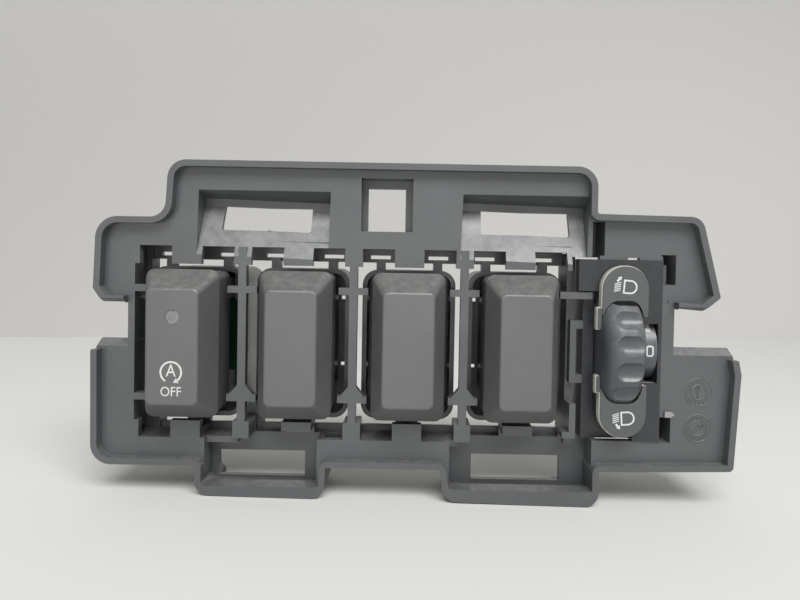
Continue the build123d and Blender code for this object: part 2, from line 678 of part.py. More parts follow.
def terminals(pins, start, end):
    """Square contact pins from the board into the socket."""
    with BuildPart() as part:
        for pin_x, pin_z in pins:
            block(around(pin_x, PIN_SIDE / 2), (start, end), around(pin_z, PIN_SIDE / 2))
    return part.part


button_pins = []
for column in range(4):
    for row in range(2):
        pin_x = key_x + (column - 1.5) * BUTTON_PIN_PITCH[0]
        button_pins.append((pin_x, HOUSING_Z + (row - 0.5) * BUTTON_PIN_PITCH[1]))
button_centre = (key_x, HOUSING_Z)
pieces["button_rear_cover"] = rear_cover(
    button_centre, HOUSING, HOUSING_RADIUS, BUTTON_BACK, board_back, BUTTON_SOCKET, button_pins
)
pieces["button_terminals"] = terminals(button_pins, board_back, BUTTON_BACK + COVER + SOCKET_DEPTH - PIN_SET)
pieces["button_housing"] = button_housing.part
pieces["button_cap"] = button_cap.part
pieces["indicator_lens"] = indicator_lens.part
pieces["symbol_light_guide"] = symbol_light_guide.part
pieces["dome_mat"] = dome_mat.part
pieces["button_board"] = button_board.part
pieces["button_lamps"] = button_lamps.part


# Levelling control
def wheel_space(x_range, gap):
    """Barrel of the thumbwheel, with a gap round it for the slot."""
    with BuildPart() as barrel:
        disc((x_range[0] - gap, x_range[1] + gap), WHEEL_Y, WHEEL_Z, WHEEL_RADIUS + gap)
        ends = barrel.faces().filter_by(Axis.X).sort_by(Axis.X)
        fillet(ends[0].edges(), radius=WHEEL_EDGES[0])
        fillet(barrel.faces().sort_by(Axis.X)[-1].edges(), radius=WHEEL_EDGES[1])
    return barrel.part


def stadium(front, back, grow=0.0, mode=Mode.ADD):
    """Long rounded outline of the raised column that carries the symbol plates."""
    centre = (sum(BEZEL_X) / 2, sum(BEZEL_Z) / 2)
    width = BEZEL_X[1] - BEZEL_X[0] + 2 * grow
    height = BEZEL_Z[1] - BEZEL_Z[0] + 2 * grow
    rounded_box(centre, (width, height), width / 2 - 0.01, front, back, mode=mode)


level_centre = (sum(LEVEL_X) / 2, sum(LEVEL_Z) / 2)
level_size = (LEVEL_X[1] - LEVEL_X[0], LEVEL_Z[1] - LEVEL_Z[0])
slot = wheel_space(WHEEL_X, RUN)
pin_limits = (LEVEL_X[0] + PIN_SHORT, LEVEL_X[1] - PIN_SHORT)
bore_room = PIN_SHORT / 2
with BuildPart() as level_housing:
    block(LEVEL_X, (LEVEL_FACE, LEVEL_BACK), LEVEL_Z)
    block((LEVEL_X[0] + LEVEL_WALL, LEVEL_X[1] - LEVEL_THIN_WALL), (LEVEL_FACE + LEVEL_WALL, LEVEL_BACK),
          (LEVEL_Z[0] + LEVEL_WALL, LEVEL_Z[1] - LEVEL_WALL), mode=Mode.SUBTRACT)
    block((LEVEL_HEAD_X, LEVEL_X[1]), (LEVEL_HEAD_Y, LEVEL_FACE), (LEVEL_HEAD_Z, LEVEL_Z[1]))
    block((LEVEL_COLUMN_X, LEVEL_X[1]), (LEVEL_HEAD_Y, LEVEL_FACE), LEVEL_Z)
    stadium(GUIDE_BACK, LEVEL_FACE)
    block(DRUM_WINDOW_X, (GUIDE_BACK - 1, WHEEL_Y), DRUM_WINDOW_Z, mode=Mode.SUBTRACT)
    add(slot, mode=Mode.SUBTRACT)
    disc((DRUM_X[0], LEVEL_X[1] - LEVEL_THIN_WALL), WHEEL_Y, WHEEL_Z, DRUM_RADIUS + RUN, mode=Mode.SUBTRACT)
    disc((pin_limits[0] - bore_room, WHEEL_X[0]), WHEEL_Y, WHEEL_Z, WHEEL_PIN + PIN_PLAY, mode=Mode.SUBTRACT)
    disc((DRUM_X[1], pin_limits[1] + bore_room), WHEEL_Y, WHEEL_Z, WHEEL_PIN + PIN_PLAY, mode=Mode.SUBTRACT)

for end, z_range, tab_z in (("upper", UPPER_PLATE_Z, UPPER_TAB_Z), ("lower", LOWER_PLATE_Z, LOWER_TAB_Z)):
    with BuildPart() as guide:
        stadium(BEZEL_FRONT + BEZEL, GUIDE_BACK, grow=GUIDE_EDGE)
        block(LEVEL_X, (BEZEL_FRONT, GUIDE_BACK), z_range, mode=Mode.INTERSECT)
        block((BEZEL_X[0] - GUIDE_SIDE, BEZEL_X[0] + GUIDE_EDGE), (GUIDE_TAB_FRONT, GUIDE_BACK), tab_z)
        add(slot, mode=Mode.SUBTRACT)
    with BuildPart() as bezel:
        stadium(BEZEL_FRONT, BEZEL_FRONT + BEZEL)
        block(LEVEL_X, (BEZEL_FRONT, BEZEL_FRONT + BEZEL), z_range, mode=Mode.INTERSECT)
        add(slot, mode=Mode.SUBTRACT)
    pieces[f"level_guide_{end}"] = guide.part
    pieces[f"level_bezel_{end}"] = bezel.part

# Scallops round the wheel
with BuildPart() as scallops:
    for index in range(SCALLOPS):
        angle = radians(SCALLOP_START + index * 360 / SCALLOPS)
        reach = WHEEL_RADIUS + SCALLOP_OFFSET
        y = WHEEL_Y - reach * cos(angle)
        z = WHEEL_Z + reach * sin(angle)
        disc(SCALLOP_X, y, z, SCALLOP_RADIUS)
        with Locations((SCALLOP_X[0], y, z), (SCALLOP_X[1], y, z)):
            Sphere(SCALLOP_RADIUS)

with BuildPart() as thumbwheel:
    add(wheel_space(WHEEL_X, 0))
    add(scallops.part, mode=Mode.SUBTRACT)
    disc(DRUM_X, WHEEL_Y, WHEEL_Z, DRUM_RADIUS)
    disc(pin_limits, WHEEL_Y, WHEEL_Z, WHEEL_PIN)

with BuildPart() as wiper:
    wiper_x = (WHEEL_X[0] - WIPER, WHEEL_X[0])
    disc(wiper_x, WHEEL_Y, WHEEL_Z, WIPER_RADII[1])
    disc(wiper_x, WHEEL_Y, WHEEL_Z, WIPER_RADII[0], mode=Mode.SUBTRACT)
    wiper_y = (WHEEL_Y + WIPER_START, WHEEL_Y + WIPER_SPREAD)
    block(wiper_x, wiper_y, around(WHEEL_Z, WIPER_SPREAD), mode=Mode.INTERSECT)

level_board_front = LEVEL_BACK - LEVEL_BOARD_SET
level_board_back = level_board_front + BOARD
with BuildPart() as level_board:
    board_x = (LEVEL_X[0] + LEVEL_BOARD_EDGE, LEVEL_X[1] - LEVEL_BOARD_EDGE)
    board_z = (LEVEL_Z[0] + LEVEL_BOARD_EDGE, LEVEL_Z[1] - LEVEL_BOARD_EDGE)
    block(board_x, (level_board_front, level_board_back), board_z)

with BuildPart() as track_board:
    track_x = (LEVEL_X[0] + LEVEL_WALL, LEVEL_X[0] + LEVEL_WALL + TRACK_BOARD)
    block(track_x, (LEVEL_FACE + LEVEL_WALL, level_board_front), around(WHEEL_Z, TRACK_HALF))
    disc(track_x, WHEEL_Y, WHEEL_Z, WHEEL_PIN + RUN, mode=Mode.SUBTRACT)

with BuildPart() as level_lamp:
    lamp_y = (level_board_front - LAMP[1], level_board_front)
    block(around(LEVEL_LAMP_X, LAMP[0] / 2), lamp_y, around(LEVEL_LAMP_Z, LAMP[2] / 2))

spring_y = WHEEL_Y + DRUM_RADIUS + SPRING_GAP
with BuildPart() as detent_spring:
    block(SPRING_X, (spring_y, spring_y + SPRING_SHEET), around(WHEEL_Z, SPRING_HALF))
    for side in (-1, 1):
        leg = WHEEL_Z + side * (SPRING_HALF - SPRING_SHEET / 2)
        block(SPRING_X, (spring_y, level_board_front), around(leg, SPRING_SHEET / 2))

level_pins = [(level_centre[0], level_centre[1] + row * LEVEL_PIN_PITCH) for row in (-1, 0, 1)]
pieces["level_rear_cover"] = rear_cover(
    level_centre, level_size, LEVEL_CORNER, LEVEL_BACK, level_board_back, LEVEL_SOCKET, level_pins
)
pieces["level_terminals"] = terminals(level_pins, level_board_back, LEVEL_BACK + COVER + SOCKET_DEPTH - PIN_SET)
pieces["level_housing"] = level_housing.part
pieces["thumbwheel"] = thumbwheel.part
pieces["wiper"] = wiper.part
pieces["level_board"] = level_board.part
pieces["track_board"] = track_board.part
pieces["level_lamp"] = level_lamp.part
pieces["detent_spring"] = detent_spring.part

for label, part in pieces.items():
    part.label = label
    export_step(part, f"parts/{label}.step")
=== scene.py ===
"""Looks of the dashboard switch panel: finishes, signs, digits, mould marks and the studio."""

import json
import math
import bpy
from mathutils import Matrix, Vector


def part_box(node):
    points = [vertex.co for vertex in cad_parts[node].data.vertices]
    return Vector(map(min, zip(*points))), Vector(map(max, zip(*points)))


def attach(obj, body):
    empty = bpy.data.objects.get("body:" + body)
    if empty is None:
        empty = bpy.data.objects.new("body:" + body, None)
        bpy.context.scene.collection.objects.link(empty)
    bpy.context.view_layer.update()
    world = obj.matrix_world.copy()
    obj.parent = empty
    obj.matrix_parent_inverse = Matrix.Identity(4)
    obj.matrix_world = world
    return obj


bl_info = {
    "name": "Dashboard switch panel",
    "version": (1, 0, 0),
    "blender": (4, 5, 0),
    "location": "View3D > Sidebar > Switch panel",
    "description": "Finishes, signs and studio for a moulded dashboard switch panel",
    "category": "Object",
}

import bmesh
import bpy
from bpy.props import FloatProperty, FloatVectorProperty, IntProperty, PointerProperty
from mathutils import Matrix, Vector

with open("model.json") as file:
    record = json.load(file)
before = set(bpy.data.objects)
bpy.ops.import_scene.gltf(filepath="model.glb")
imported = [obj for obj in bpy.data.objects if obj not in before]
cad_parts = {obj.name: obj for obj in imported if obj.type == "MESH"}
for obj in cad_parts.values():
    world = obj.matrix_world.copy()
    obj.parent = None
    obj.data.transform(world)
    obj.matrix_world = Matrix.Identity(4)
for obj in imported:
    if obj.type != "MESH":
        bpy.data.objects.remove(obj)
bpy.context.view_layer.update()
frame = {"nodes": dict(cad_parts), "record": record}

MM = 0.001
PROUD = 0.02 * MM
FIXED = "panel"
KEY = "key"
WHEEL = "wheel"


def middle(node):
    """Centre of a CAD node."""
    low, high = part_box(node)
    return (Vector(low) + Vector(high)) / 2


def joint_place(name):
    """Point on the axis of a joint."""
    for joint in frame["record"]["behaviour"]["joints"]:
        if joint["name"] == name:
            return Vector(joint["pos_m"])
    raise RuntimeError(f"no joint called {name}")


# The key's face is level with those of the blanking caps
KEY_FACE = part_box("blank_1_cap")[0][1]
LENS = middle("indicator_lens")
PLATE_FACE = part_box("level_bezel_upper")[0][1]
GUIDE_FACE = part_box("level_guide_upper")[0][1]
WHEEL_AXIS = joint_place("wheel_turn")


# Settings
def colour_setting(name, description, default):
    """Colour that a user can change."""
    return FloatVectorProperty(name=name, description=description, subtype="COLOR", size=3, default=default)


def length_setting(name, description, millimetres):
    """Length that a user can change."""
    return FloatProperty(name=name, description=description, unit="LENGTH", default=millimetres * MM)


def share_setting(name, description, default):
    """Amount from none to full that a user can change."""
    return FloatProperty(name=name, description=description, subtype="FACTOR", min=0, max=1, default=default)


class PanelFinish(bpy.types.PropertyGroup):
    """Colours and wear of the mouldings."""

    frame_colour: colour_setting("Carrier", "Colour of the carrier frame", (0.067, 0.072, 0.077))
    cap_colour: colour_setting("Caps", "Colour of the key and the blanking caps", (0.092, 0.096, 0.094))
    housing_colour: colour_setting("Housings", "Colour of the black switch housings", (0.010, 0.011, 0.013))
    control_colour: colour_setting("Levelling control", "Colour of its housing", (0.030, 0.032, 0.036))
    wheel_colour: colour_setting("Thumbwheel", "Colour of the thumbwheel", (0.077, 0.084, 0.094))
    plate_colour: colour_setting("Symbol plates", "Colour of the symbol plates", (0.074, 0.080, 0.082))
    guide_colour: colour_setting("Light guides", "Colour of the cream light guides", (0.66, 0.66, 0.58))
    sign_colour: colour_setting("Signs", "Colour of the printed signs", (0.66, 0.68, 0.66))
    # Dust on faces that look up also stands in for light from above there: a painted top light
    dust_colour: colour_setting("Dust", "Colour of the settled dust", (0.42, 0.41, 0.39))
    dust: share_setting("Dust amount", "How much dust lies on faces that look up", 0.34)
    edge_wear: share_setting("Edge wear", "How far the edges are rubbed light", 0.22)


class PanelSigns(bpy.types.PropertyGroup):
    """Sizes of the printed signs."""

    arrow_radius: length_setting("Arrow radius", "Radius of the circular arrow on the key", 2.84)
    stroke: length_setting("Stroke", "Line width of the signs", 0.50)
    word_height: length_setting("Word height", "Height of the capitals under the arrow", 2.6)
    digit_height: length_setting("Digit height", "Height of the numbers on the drum", 3.3)
    digit_step: FloatProperty(
        name="Digit step",
        description="Angle between two numbers on the drum",
        subtype="ANGLE",
        unit="ROTATION",
        default=math.radians(45),
    )
    lens_height: length_setting("Headlight height", "Outer height of a headlight sign", 4.05)
    rays: IntProperty(name="Rays", description="Number of light rays in a headlight sign", min=1, default=5)
    ray_pitch: length_setting("Ray pitch", "Distance from one light ray to the next", 0.54)
    ring_ticks: IntProperty(
        name="Ring ticks", description="Number of ticks round a mould ring", min=3, default=18
    )


class PanelStage(bpy.types.PropertyGroup):
    """Floor, wall and lamps."""

    floor_colour: colour_setting("Floor", "Colour of the floor", (0.745, 0.745, 0.72))
    wall_colour: colour_setting("Wall", "Colour of the wall", (0.68, 0.67, 0.65))
    key_lamp: FloatProperty(
        name="Key lamp", description="Power of the large lamp above", subtype="POWER", min=0, default=17.0
    )
    fill_lamp: FloatProperty(
        name="Fill lamp", description="Power of the low lamp in front", subtype="POWER", min=0, default=0.42
    )
    room_light: FloatProperty(
        name="Room light", description="Strength of the even light of the room", min=0, default=0.28
    )


# Node helpers
def feed(tree, socket, value):
    """Links an input to an output, or sets it to a plain value."""
    if isinstance(value, bpy.types.NodeSocket):
        tree.links.new(value, socket)
    else:
        socket.default_value = value


def set_inputs(tree, node, values):
    """Feeds the inputs of a node, which are given by name or number."""
    for socket, value in values.items():
        feed(tree, node.inputs[socket], value)


def add_node(tree, kind, values=None, **settings):
    """New node with its settings, and then its inputs."""
    node = tree.nodes.new(kind)
    for setting, value in settings.items():
        setattr(node, setting, value)
    set_inputs(tree, node, values or {})
    return node


def maths(tree, operation, *terms, clamp=False):
    """Result of a sum on sockets and numbers."""
    node = add_node(tree, "ShaderNodeMath", dict(enumerate(terms)), operation=operation, use_clamp=clamp)
    return node.outputs[0]


def ranged(tree, value, low, high, least=0.0, most=1.0, interpolation="LINEAR"):
    """Value from one range taken to another."""
    limits = {"Value": value, "From Min": low, "From Max": high, "To Min": least, "To Max": most}
    return add_node(tree, "ShaderNodeMapRange", limits, interpolation_type=interpolation).outputs["Result"]


# Numbers of a colour Mix node's sockets, whose names it shares with its other kinds
MIX_FACTOR, MIX_FIRST, MIX_SECOND, MIX_RESULT = 0, 6, 7, 2


def mixed(tree, factor, first, second):
    """Colour between two colours."""
    values = {MIX_FACTOR: factor, MIX_FIRST: first, MIX_SECOND: second}
    return add_node(tree, "ShaderNodeMix", values, data_type="RGBA").outputs[MIX_RESULT]


def noise(tree, place, scale, detail, **more):
    """Strength of a noise texture at a place."""
    values = {"Vector": place, "Scale": scale, "Detail": detail}
    values.update({label.capitalize(): value for label, value in more.items()})
    return add_node(tree, "ShaderNodeTexNoise", values).outputs["Fac"]


def bumped(tree, height, strength, millimetres):
    """Normal of a surface that is bumped by a height."""
    values = {"Height": height, "Strength": strength, "Distance": millimetres * MM}
    return add_node(tree, "ShaderNodeBump", values).outputs["Normal"]


# Shader groups
def make_group(name, inputs, outputs):
    """Empty shader group with a place as first input, and its two end nodes."""
    group = bpy.data.node_groups.new(name, "ShaderNodeTree")
    group.interface.new_socket(name="Vector", in_out="INPUT", socket_type="NodeSocketVector")
    for label, value in inputs.items():
        kind = "NodeSocketFloat" if value is not None else "NodeSocketColor"
        socket = group.interface.new_socket(name=label, in_out="INPUT", socket_type=kind)
        if value is not None:
            socket.default_value = value
    for label in outputs:
        kind = "NodeSocketColor" if label == "Colour" else "NodeSocketFloat"
        group.interface.new_socket(name=label, in_out="OUTPUT", socket_type=kind)
    return group, group.nodes.new("NodeGroupInput").outputs, group.nodes.new("NodeGroupOutput")


def grain_group():
    """Fine moulded grain: heights for the bump and a rough-smooth pattern."""
    group, given, out = make_group("moulded_grain", {"Scale": 900.0, "Wave": 0.3}, ["Height", "Pattern"])
    fine = noise(group, given["Vector"], given["Scale"], 4, roughness=0.62)
    cells = {"Vector": given["Vector"], "Scale": given["Scale"]}
    pits = add_node(group, "ShaderNodeTexVoronoi", cells).outputs["Distance"]
    slow = noise(group, given["Vector"], 70, 2)
    swell = maths(group, "MULTIPLY", slow, given["Wave"])
    dimple = maths(group, "MULTIPLY_ADD", pits, 0.45, fine)
    height = maths(group, "ADD", dimple, swell)
    set_inputs(group, out, {"Height": height, "Pattern": ranged(group, slow, 0.32, 0.68)})
    return group


def drift_group():
    """Slow change between two near shades, as in moulded plastic."""
    group, given, out = make_group("shade_drift", {"First": None, "Second": None, "Scale": 22.0}, ["Colour"])
    clouds = noise(group, given["Vector"], given["Scale"], 5, distortion=0.6)
    share = ranged(group, clouds, 0.3, 0.7)
    set_inputs(group, out, {"Colour": mixed(group, share, given["First"], given["Second"])})
    return group


def dust_group():
    """Dust mask for faces looking up, also a painted top light: the more a face turns up, the lighter it
    gets.
    """
    group, given, out = make_group("dust_and_painted_top_light", {"Amount": 0.2}, ["Mask"])
    normal = add_node(group, "ShaderNodeNewGeometry").outputs["Normal"]
    upward = add_node(group, "ShaderNodeSeparateXYZ", {"Vector": normal}).outputs["Z"]
    level = ranged(group, upward, 0.0, 0.45, least=0.10)
    specks = noise(group, given["Vector"], 420, 6, roughness=0.7)
    lying = maths(group, "MULTIPLY", level, ranged(group, specks, 0.30, 0.78))
    set_inputs(group, out, {"Mask": maths(group, "MULTIPLY", lying, given["Amount"], clamp=True)})
    return group


def edge_group():
    """Mask of rubbed edges, broken up by noise."""
    group, given, out = make_group("rubbed_edges", {"Radius": 0.0004, "Amount": 0.25}, ["Mask"])
    rounded = add_node(group, "ShaderNodeBevel", {"Radius": given["Radius"]}, samples=4).outputs["Normal"]
    normal = add_node(group, "ShaderNodeNewGeometry").outputs["Normal"]
    turn = add_node(group, "ShaderNodeVectorMath", {0: rounded, 1: normal}, operation="DOT_PRODUCT")
    edge = ranged(group, turn.outputs["Value"], 0.995, 0.80)
    chips = noise(group, given["Vector"], 260, 5)
    wear = maths(group, "MULTIPLY", edge, ranged(group, chips, 0.34, 0.62, least=0.25))
    set_inputs(group, out, {"Mask": maths(group, "MULTIPLY", wear, given["Amount"], clamp=True)})
    return group


GROUPS = {
    "moulded_grain": grain_group,
    "shade_drift": drift_group,
    "dust_and_painted_top_light": dust_group,
    "rubbed_edges": edge_group,
}


def placed(tree, name, place, **values):
    """Shader group in a material, read at a place with its own values, built the first time."""
    shared = bpy.data.node_groups.get(name) or GROUPS[name]()
    node = add_node(tree, "ShaderNodeGroup", node_tree=shared)
    inputs = {label.capitalize(): value for label, value in values.items()}
    set_inputs(tree, node, {"Vector": place, **inputs})
    return node.outputs


# Materials
def shade(colour, factor=1.0):
    """Colour with alpha, made lighter or darker."""
    return (*[min(1.0, part * factor) for part in colour], 1.0)


def shades(tree, place, colour, low, high, scale=22.0):
    """Slow drift between a darker and a lighter shade of a colour."""
    dark, light = shade(colour, low), shade(colour, high)
    return placed(tree, "shade_drift", place, first=dark, second=light, scale=scale)["Colour"]


def start_material(name):
    """Material with its Principled shader and object coordinates; no tree where it is made already."""
    material = bpy.data.materials.get(name)
    if material:
        return material, None, None, None
    material = bpy.data.materials.new(name)
    material.use_nodes = True
    tree = material.node_tree
    place = tree.nodes.new("ShaderNodeTexCoord").outputs["Object"]
    return material, tree, tree.nodes["Principled BSDF"], place


def moulded_plastic(name, colour, rough=0.5, grain=1100.0, depth=0.04, spread=0.12, specular=0.85):
    """Moulded plastic with grain, shade drift and rubbed edges. Dust and painted top light make faces that
    look up lighter.
    """
    material, tree, shader, place = start_material(name)
    if tree is None:
        return material
    finish = bpy.context.scene.panel_finish
    texture = placed(tree, "moulded_grain", place, scale=grain)
    dust = placed(tree, "dust_and_painted_top_light", place, amount=finish.dust)
    edges = placed(tree, "rubbed_edges", place, amount=finish.edge_wear)
    plain = shades(tree, place, colour, 1 - spread, 1 + spread)
    worn = mixed(tree, edges["Mask"], plain, shade([0.5 * part + 0.14 for part in colour]))
    looks = {
        # Faces that look up turn lighter: partly real dust, partly painted top light
        "Base Color": mixed(tree, dust["Mask"], worn, shade(finish.dust_colour)),
        "Roughness": ranged(tree, texture["Pattern"], 0, 1, rough - 0.05, rough + 0.08),
        "Specular IOR Level": specular,
        "Normal": bumped(tree, texture["Height"], 0.35, depth),
    }
    set_inputs(tree, shader, looks)
    return material


def carrier_plastic():
    """Grained dark plastic of the carrier frame."""
    colour = bpy.context.scene.panel_finish.frame_colour
    return moulded_plastic("carrier_plastic", colour, rough=0.40, grain=1500, depth=0.04)


def housing_plastic():
    """Black plastic of the switch housings."""
    colour = bpy.context.scene.panel_finish.housing_colour
    return moulded_plastic("housing_black", colour, rough=0.34, grain=1200, depth=0.03)


def cream_guide(name, colour):
    """Cream light guide: smooth, slightly see-through plastic."""
    material, tree, shader, place = start_material(name)
    texture = placed(tree, "moulded_grain", place, scale=500.0)
    looks = {
        "Base Color": shades(tree, place, colour, 0.86, 1.08, 160.0),
        "Roughness": ranged(tree, texture["Pattern"], 0, 1, 0.22, 0.36),
        "Subsurface Weight": 0.25,
        "Subsurface Radius": (0.001, 0.001, 0.0008),
        "Normal": bumped(tree, texture["Height"], 0.15, 0.02),
    }
    set_inputs(tree, shader, looks)
    return material


def smoked_lens():
    """Smoked round window of the indicator."""
    material, tree, shader, place = start_material("indicator_window")
    dark, light = (0.150, 0.154, 0.151, 1), (0.200, 0.204, 0.201, 1)
    drift = placed(tree, "shade_drift", place, first=dark, second=light, scale=900.0)
    looks = {"Base Color": drift["Colour"], "Roughness": 0.32, "Coat Weight": 0.25, "Coat Roughness": 0.12}
    set_inputs(tree, shader, looks)
    return material


def sign_print():
    """Laser-cut sign: matt, slightly uneven off-white."""
    material, tree, shader, place = start_material("sign_white")
    if tree is None:
        return material
    texture = placed(tree, "moulded_grain", place, scale=3000.0)
    looks = {
        "Base Color": shades(tree, place, bpy.context.scene.panel_finish.sign_colour, 0.84, 1.06, 1400.0),
        "Roughness": ranged(tree, texture["Pattern"], 0, 1, 0.45, 0.65),
    }
    set_inputs(tree, shader, looks)
    return material


def tinned_metal():
    """Tinned strip metal of the pins with fine lines and stains."""
    material, tree, shader, place = start_material("tinned_pins")
    stretch = add_node(tree, "ShaderNodeMapping", {"Vector": place, "Scale": (1.0, 12.0, 0.4)})
    lines = noise(tree, stretch.outputs["Vector"], 1500, 4)
    looks = {
        "Base Color": shades(tree, place, (0.72, 0.71, 0.68), 0.8, 1.05, 300.0),
        "Roughness": ranged(tree, lines, 0, 1, 0.22, 0.42),
        "Metallic": 1.0,
        "Normal": bumped(tree, lines, 0.2, 0.01),
    }
    set_inputs(tree, shader, looks)
    return material


def lamp_resin():
    """Yellowish resin of the small lamps, uneven in shade."""
    material, tree, shader, place = start_material("lamp_resin")
    deep, pale = (0.62, 0.55, 0.22, 1), (0.86, 0.82, 0.58, 1)
    drift = placed(tree, "shade_drift", place, first=deep, second=pale, scale=700.0)
    set_inputs(tree, shader, {"Base Color": drift["Colour"], "Roughness": 0.2})
    return material


def dress(material, *nodes):
    """Gives CAD nodes their material."""
    for name in nodes:
        piece = frame["nodes"][name]
        piece.data.materials.clear()
        piece.data.materials.append(material)


# Geometry helpers
def add_piece(name, mesh, body):
    """Object for a finished mesh, riding on a body."""
    piece = bpy.data.objects.new(name, mesh)
    bpy.context.scene.collection.objects.link(piece)
    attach(piece, body)
    return piece


def flat_piece(name, build, material, body):
    """Piece made by a function that fills a bmesh."""
    mesh = bpy.data.meshes.new(name)
    work = bmesh.new()
    build(work)
    bmesh.ops.remove_doubles(work, verts=work.verts, dist=0.001 * MM)
    bmesh.ops.recalc_face_normals(work, faces=work.faces)
    work.to_mesh(mesh)
    work.free()
    mesh.materials.append(material)
    return add_piece(name, mesh, body)


def raised(work, outline, thickness):
    """Adds a plate with the given outline in X and Z, its front at Y = -thickness."""
    front = [work.verts.new((x, -thickness, z)) for x, z in outline]
    back = [work.verts.new((x, 0, z)) for x, z in outline]
    work.faces.new(front)
    work.faces.new(list(reversed(back)))
    for index in range(len(outline)):
        follow = (index + 1) % len(outline)
        work.faces.new((front[index], back[index], back[follow], front[follow]))


def solid_block(work, x, y, z):
    """Adds a block between pairs of limits in millimetres."""
    low, high = [Vector([pair[side] * MM for pair in (x, y, z)]) for side in (0, 1)]
    made = bmesh.ops.create_cube(work, size=1)["verts"]
    bmesh.ops.scale(work, verts=made, vec=high - low)
    bmesh.ops.translate(work, verts=made, vec=(low + high) / 2)


def band_sides(points, width, closed):
    """Points to the left and the right of a line, mitred where it turns."""
    left, right = [], []
    last = len(points) - 1
    for index, point in enumerate(points):
        here = Vector(point)
        if closed:
            before, after = Vector(points[index - 1]), Vector(points[(index + 1) % len(points)])
        else:
            before, after = Vector(points[max(index - 1, 0)]), Vector(points[min(index + 1, last)])
        first = (here - before).normalized() if (here - before).length else (after - here).normalized()
        second = (after - here).normalized() if (after - here).length else first
        along = (first + second).normalized()
        across = Vector((-along.y, along.x))
        mitre = width / 2 / max(0.5, across.dot(Vector((-first.y, first.x))))
        left.append(here + across * mitre)
        right.append(here - across * mitre)
    return left, right


def stroke_band(work, points, width, thickness, closed=False):
    """Adds a line of constant width along points in X and Z."""
    rows = []
    for outer, inner in zip(*band_sides(points, width, closed)):
        corners = ((outer, -thickness), (inner, -thickness), (inner, 0), (outer, 0))
        rows.append([work.verts.new((point.x, y, point.y)) for point, y in corners])
    for index in range(len(rows) if closed else len(rows) - 1):
        here, there = rows[index], rows[(index + 1) % len(rows)]
        for side in range(4):
            turn = (side + 1) % 4
            work.faces.new((here[side], here[turn], there[turn], there[side]))
    if not closed:
        work.faces.new(rows[0])
        work.faces.new(list(reversed(rows[-1])))


def arc(radius, start, end, steps, centre=(0, 0)):
    """Points on an arc, angles in degrees from +X towards +Z."""
    points = []
    for index in range(steps + 1):
        angle = math.radians(start + (end - start) * index / steps)
        points.append((centre[0] + radius * math.cos(angle), centre[1] + radius * math.sin(angle)))
    return points


def rounded_oblong(width, height, corner):
    """Points round an oblong with rounded corners."""
    points = []
    for x, z, start in ((1, 1, 0), (-1, 1, 90), (-1, -1, 180), (1, -1, 270)):
        centre = (x * (width / 2 - corner), z * (height / 2 - corner))
        points += arc(corner, start, start + 90, 5, centre)
    return points


def in_metres(outline):
    """Points in millimetres taken to metres."""
    return [(x * MM, z * MM) for x, z in outline]


def put(work, place, since=0, lean=0.0):
    """Leans vertices made after a count to the right and moves them to their place."""
    work.verts.ensure_lookup_table()
    fresh = work.verts[since:]
    bmesh.ops.rotate(work, verts=fresh, cent=(0, 0, 0), matrix=Matrix.Rotation(lean, 3, "Y"))
    bmesh.ops.translate(work, verts=fresh, vec=place)


def plain_mesh(holder):
    """Mesh of an object as its text or modifier makes it; the object goes."""
    bpy.context.view_layer.update()
    mesh = bpy.data.meshes.new_from_object(holder.evaluated_get(bpy.context.evaluated_depsgraph_get()))
    bpy.data.objects.remove(holder)
    return mesh


def lettering(text, height, width, weight=0.0):
    """Mesh of a short word of a given size, centred, upright in X and Z with its face at Y = 0."""
    curve = bpy.data.curves.new("lettering", "FONT")
    curve.body = text
    curve.align_x = "CENTER"
    curve.align_y = "CENTER"
    curve.size = 1.0
    curve.offset = weight
    holder = bpy.data.objects.new("lettering", curve)
    bpy.context.scene.collection.objects.link(holder)
    mesh = plain_mesh(holder)
    low = [min(v.co[axis] for v in mesh.vertices) for axis in range(2)]
    high = [max(v.co[axis] for v in mesh.vertices) for axis in range(2)]
    shift = Matrix.Translation((-(low[0] + high[0]) / 2, -(low[1] + high[1]) / 2, 0))
    scale = Matrix.Diagonal((width / (high[0] - low[0]), height / (high[1] - low[1]), 1, 1))
    mesh.transform(Matrix.Rotation(math.radians(90), 4, "X") @ scale @ shift)
    return mesh


def add_lettering(work, mesh, place, thickness):
    """Puts a word's mesh into a bmesh with a small thickness."""
    since = len(work.verts)
    work.from_mesh(mesh)
    work.verts.index_update()
    fresh = [face for face in work.faces if all(v.index >= since for v in face.verts)]
    result = bmesh.ops.extrude_face_region(work, geom=fresh)
    lifted = [item for item in result["geom"] if isinstance(item, bmesh.types.BMVert)]
    bmesh.ops.translate(work, verts=lifted, vec=(0, -thickness, 0))
    put(work, place, since)
    bpy.data.meshes.remove(mesh)


# Geometry node trees
def node_tree(name, inputs):
    """Geometry Nodes tree with named inputs, whole numbers or lengths, and one mesh output."""
    tree = bpy.data.node_groups.new(name, "GeometryNodeTree")
    tree.interface.new_socket(name="Mesh", in_out="OUTPUT", socket_type="NodeSocketGeometry")
    for label, value in inputs.items():
        kind = "NodeSocketInt" if isinstance(value, int) else "NodeSocketFloat"
        socket = tree.interface.new_socket(name=label, in_out="INPUT", socket_type=kind)
        socket.default_value = value
    return tree, tree.nodes.new("NodeGroupInput").outputs, tree.nodes.new("NodeGroupOutput")


def close_tree(tree, geometry, out, material):
    """Ends a tree in Realize Instances and Set Material."""
    real = add_node(tree, "GeometryNodeRealizeInstances", {"Geometry": geometry})
    values = {"Geometry": real.outputs["Geometry"], "Material": material}
    paint = add_node(tree, "GeometryNodeSetMaterial", values)
    set_inputs(tree, out, {"Mesh": paint.outputs["Geometry"]})
    return tree


def vector(tree, **parts):
    """Vector from its X, Y and Z."""
    return add_node(tree, "ShaderNodeCombineXYZ", parts).outputs["Vector"]


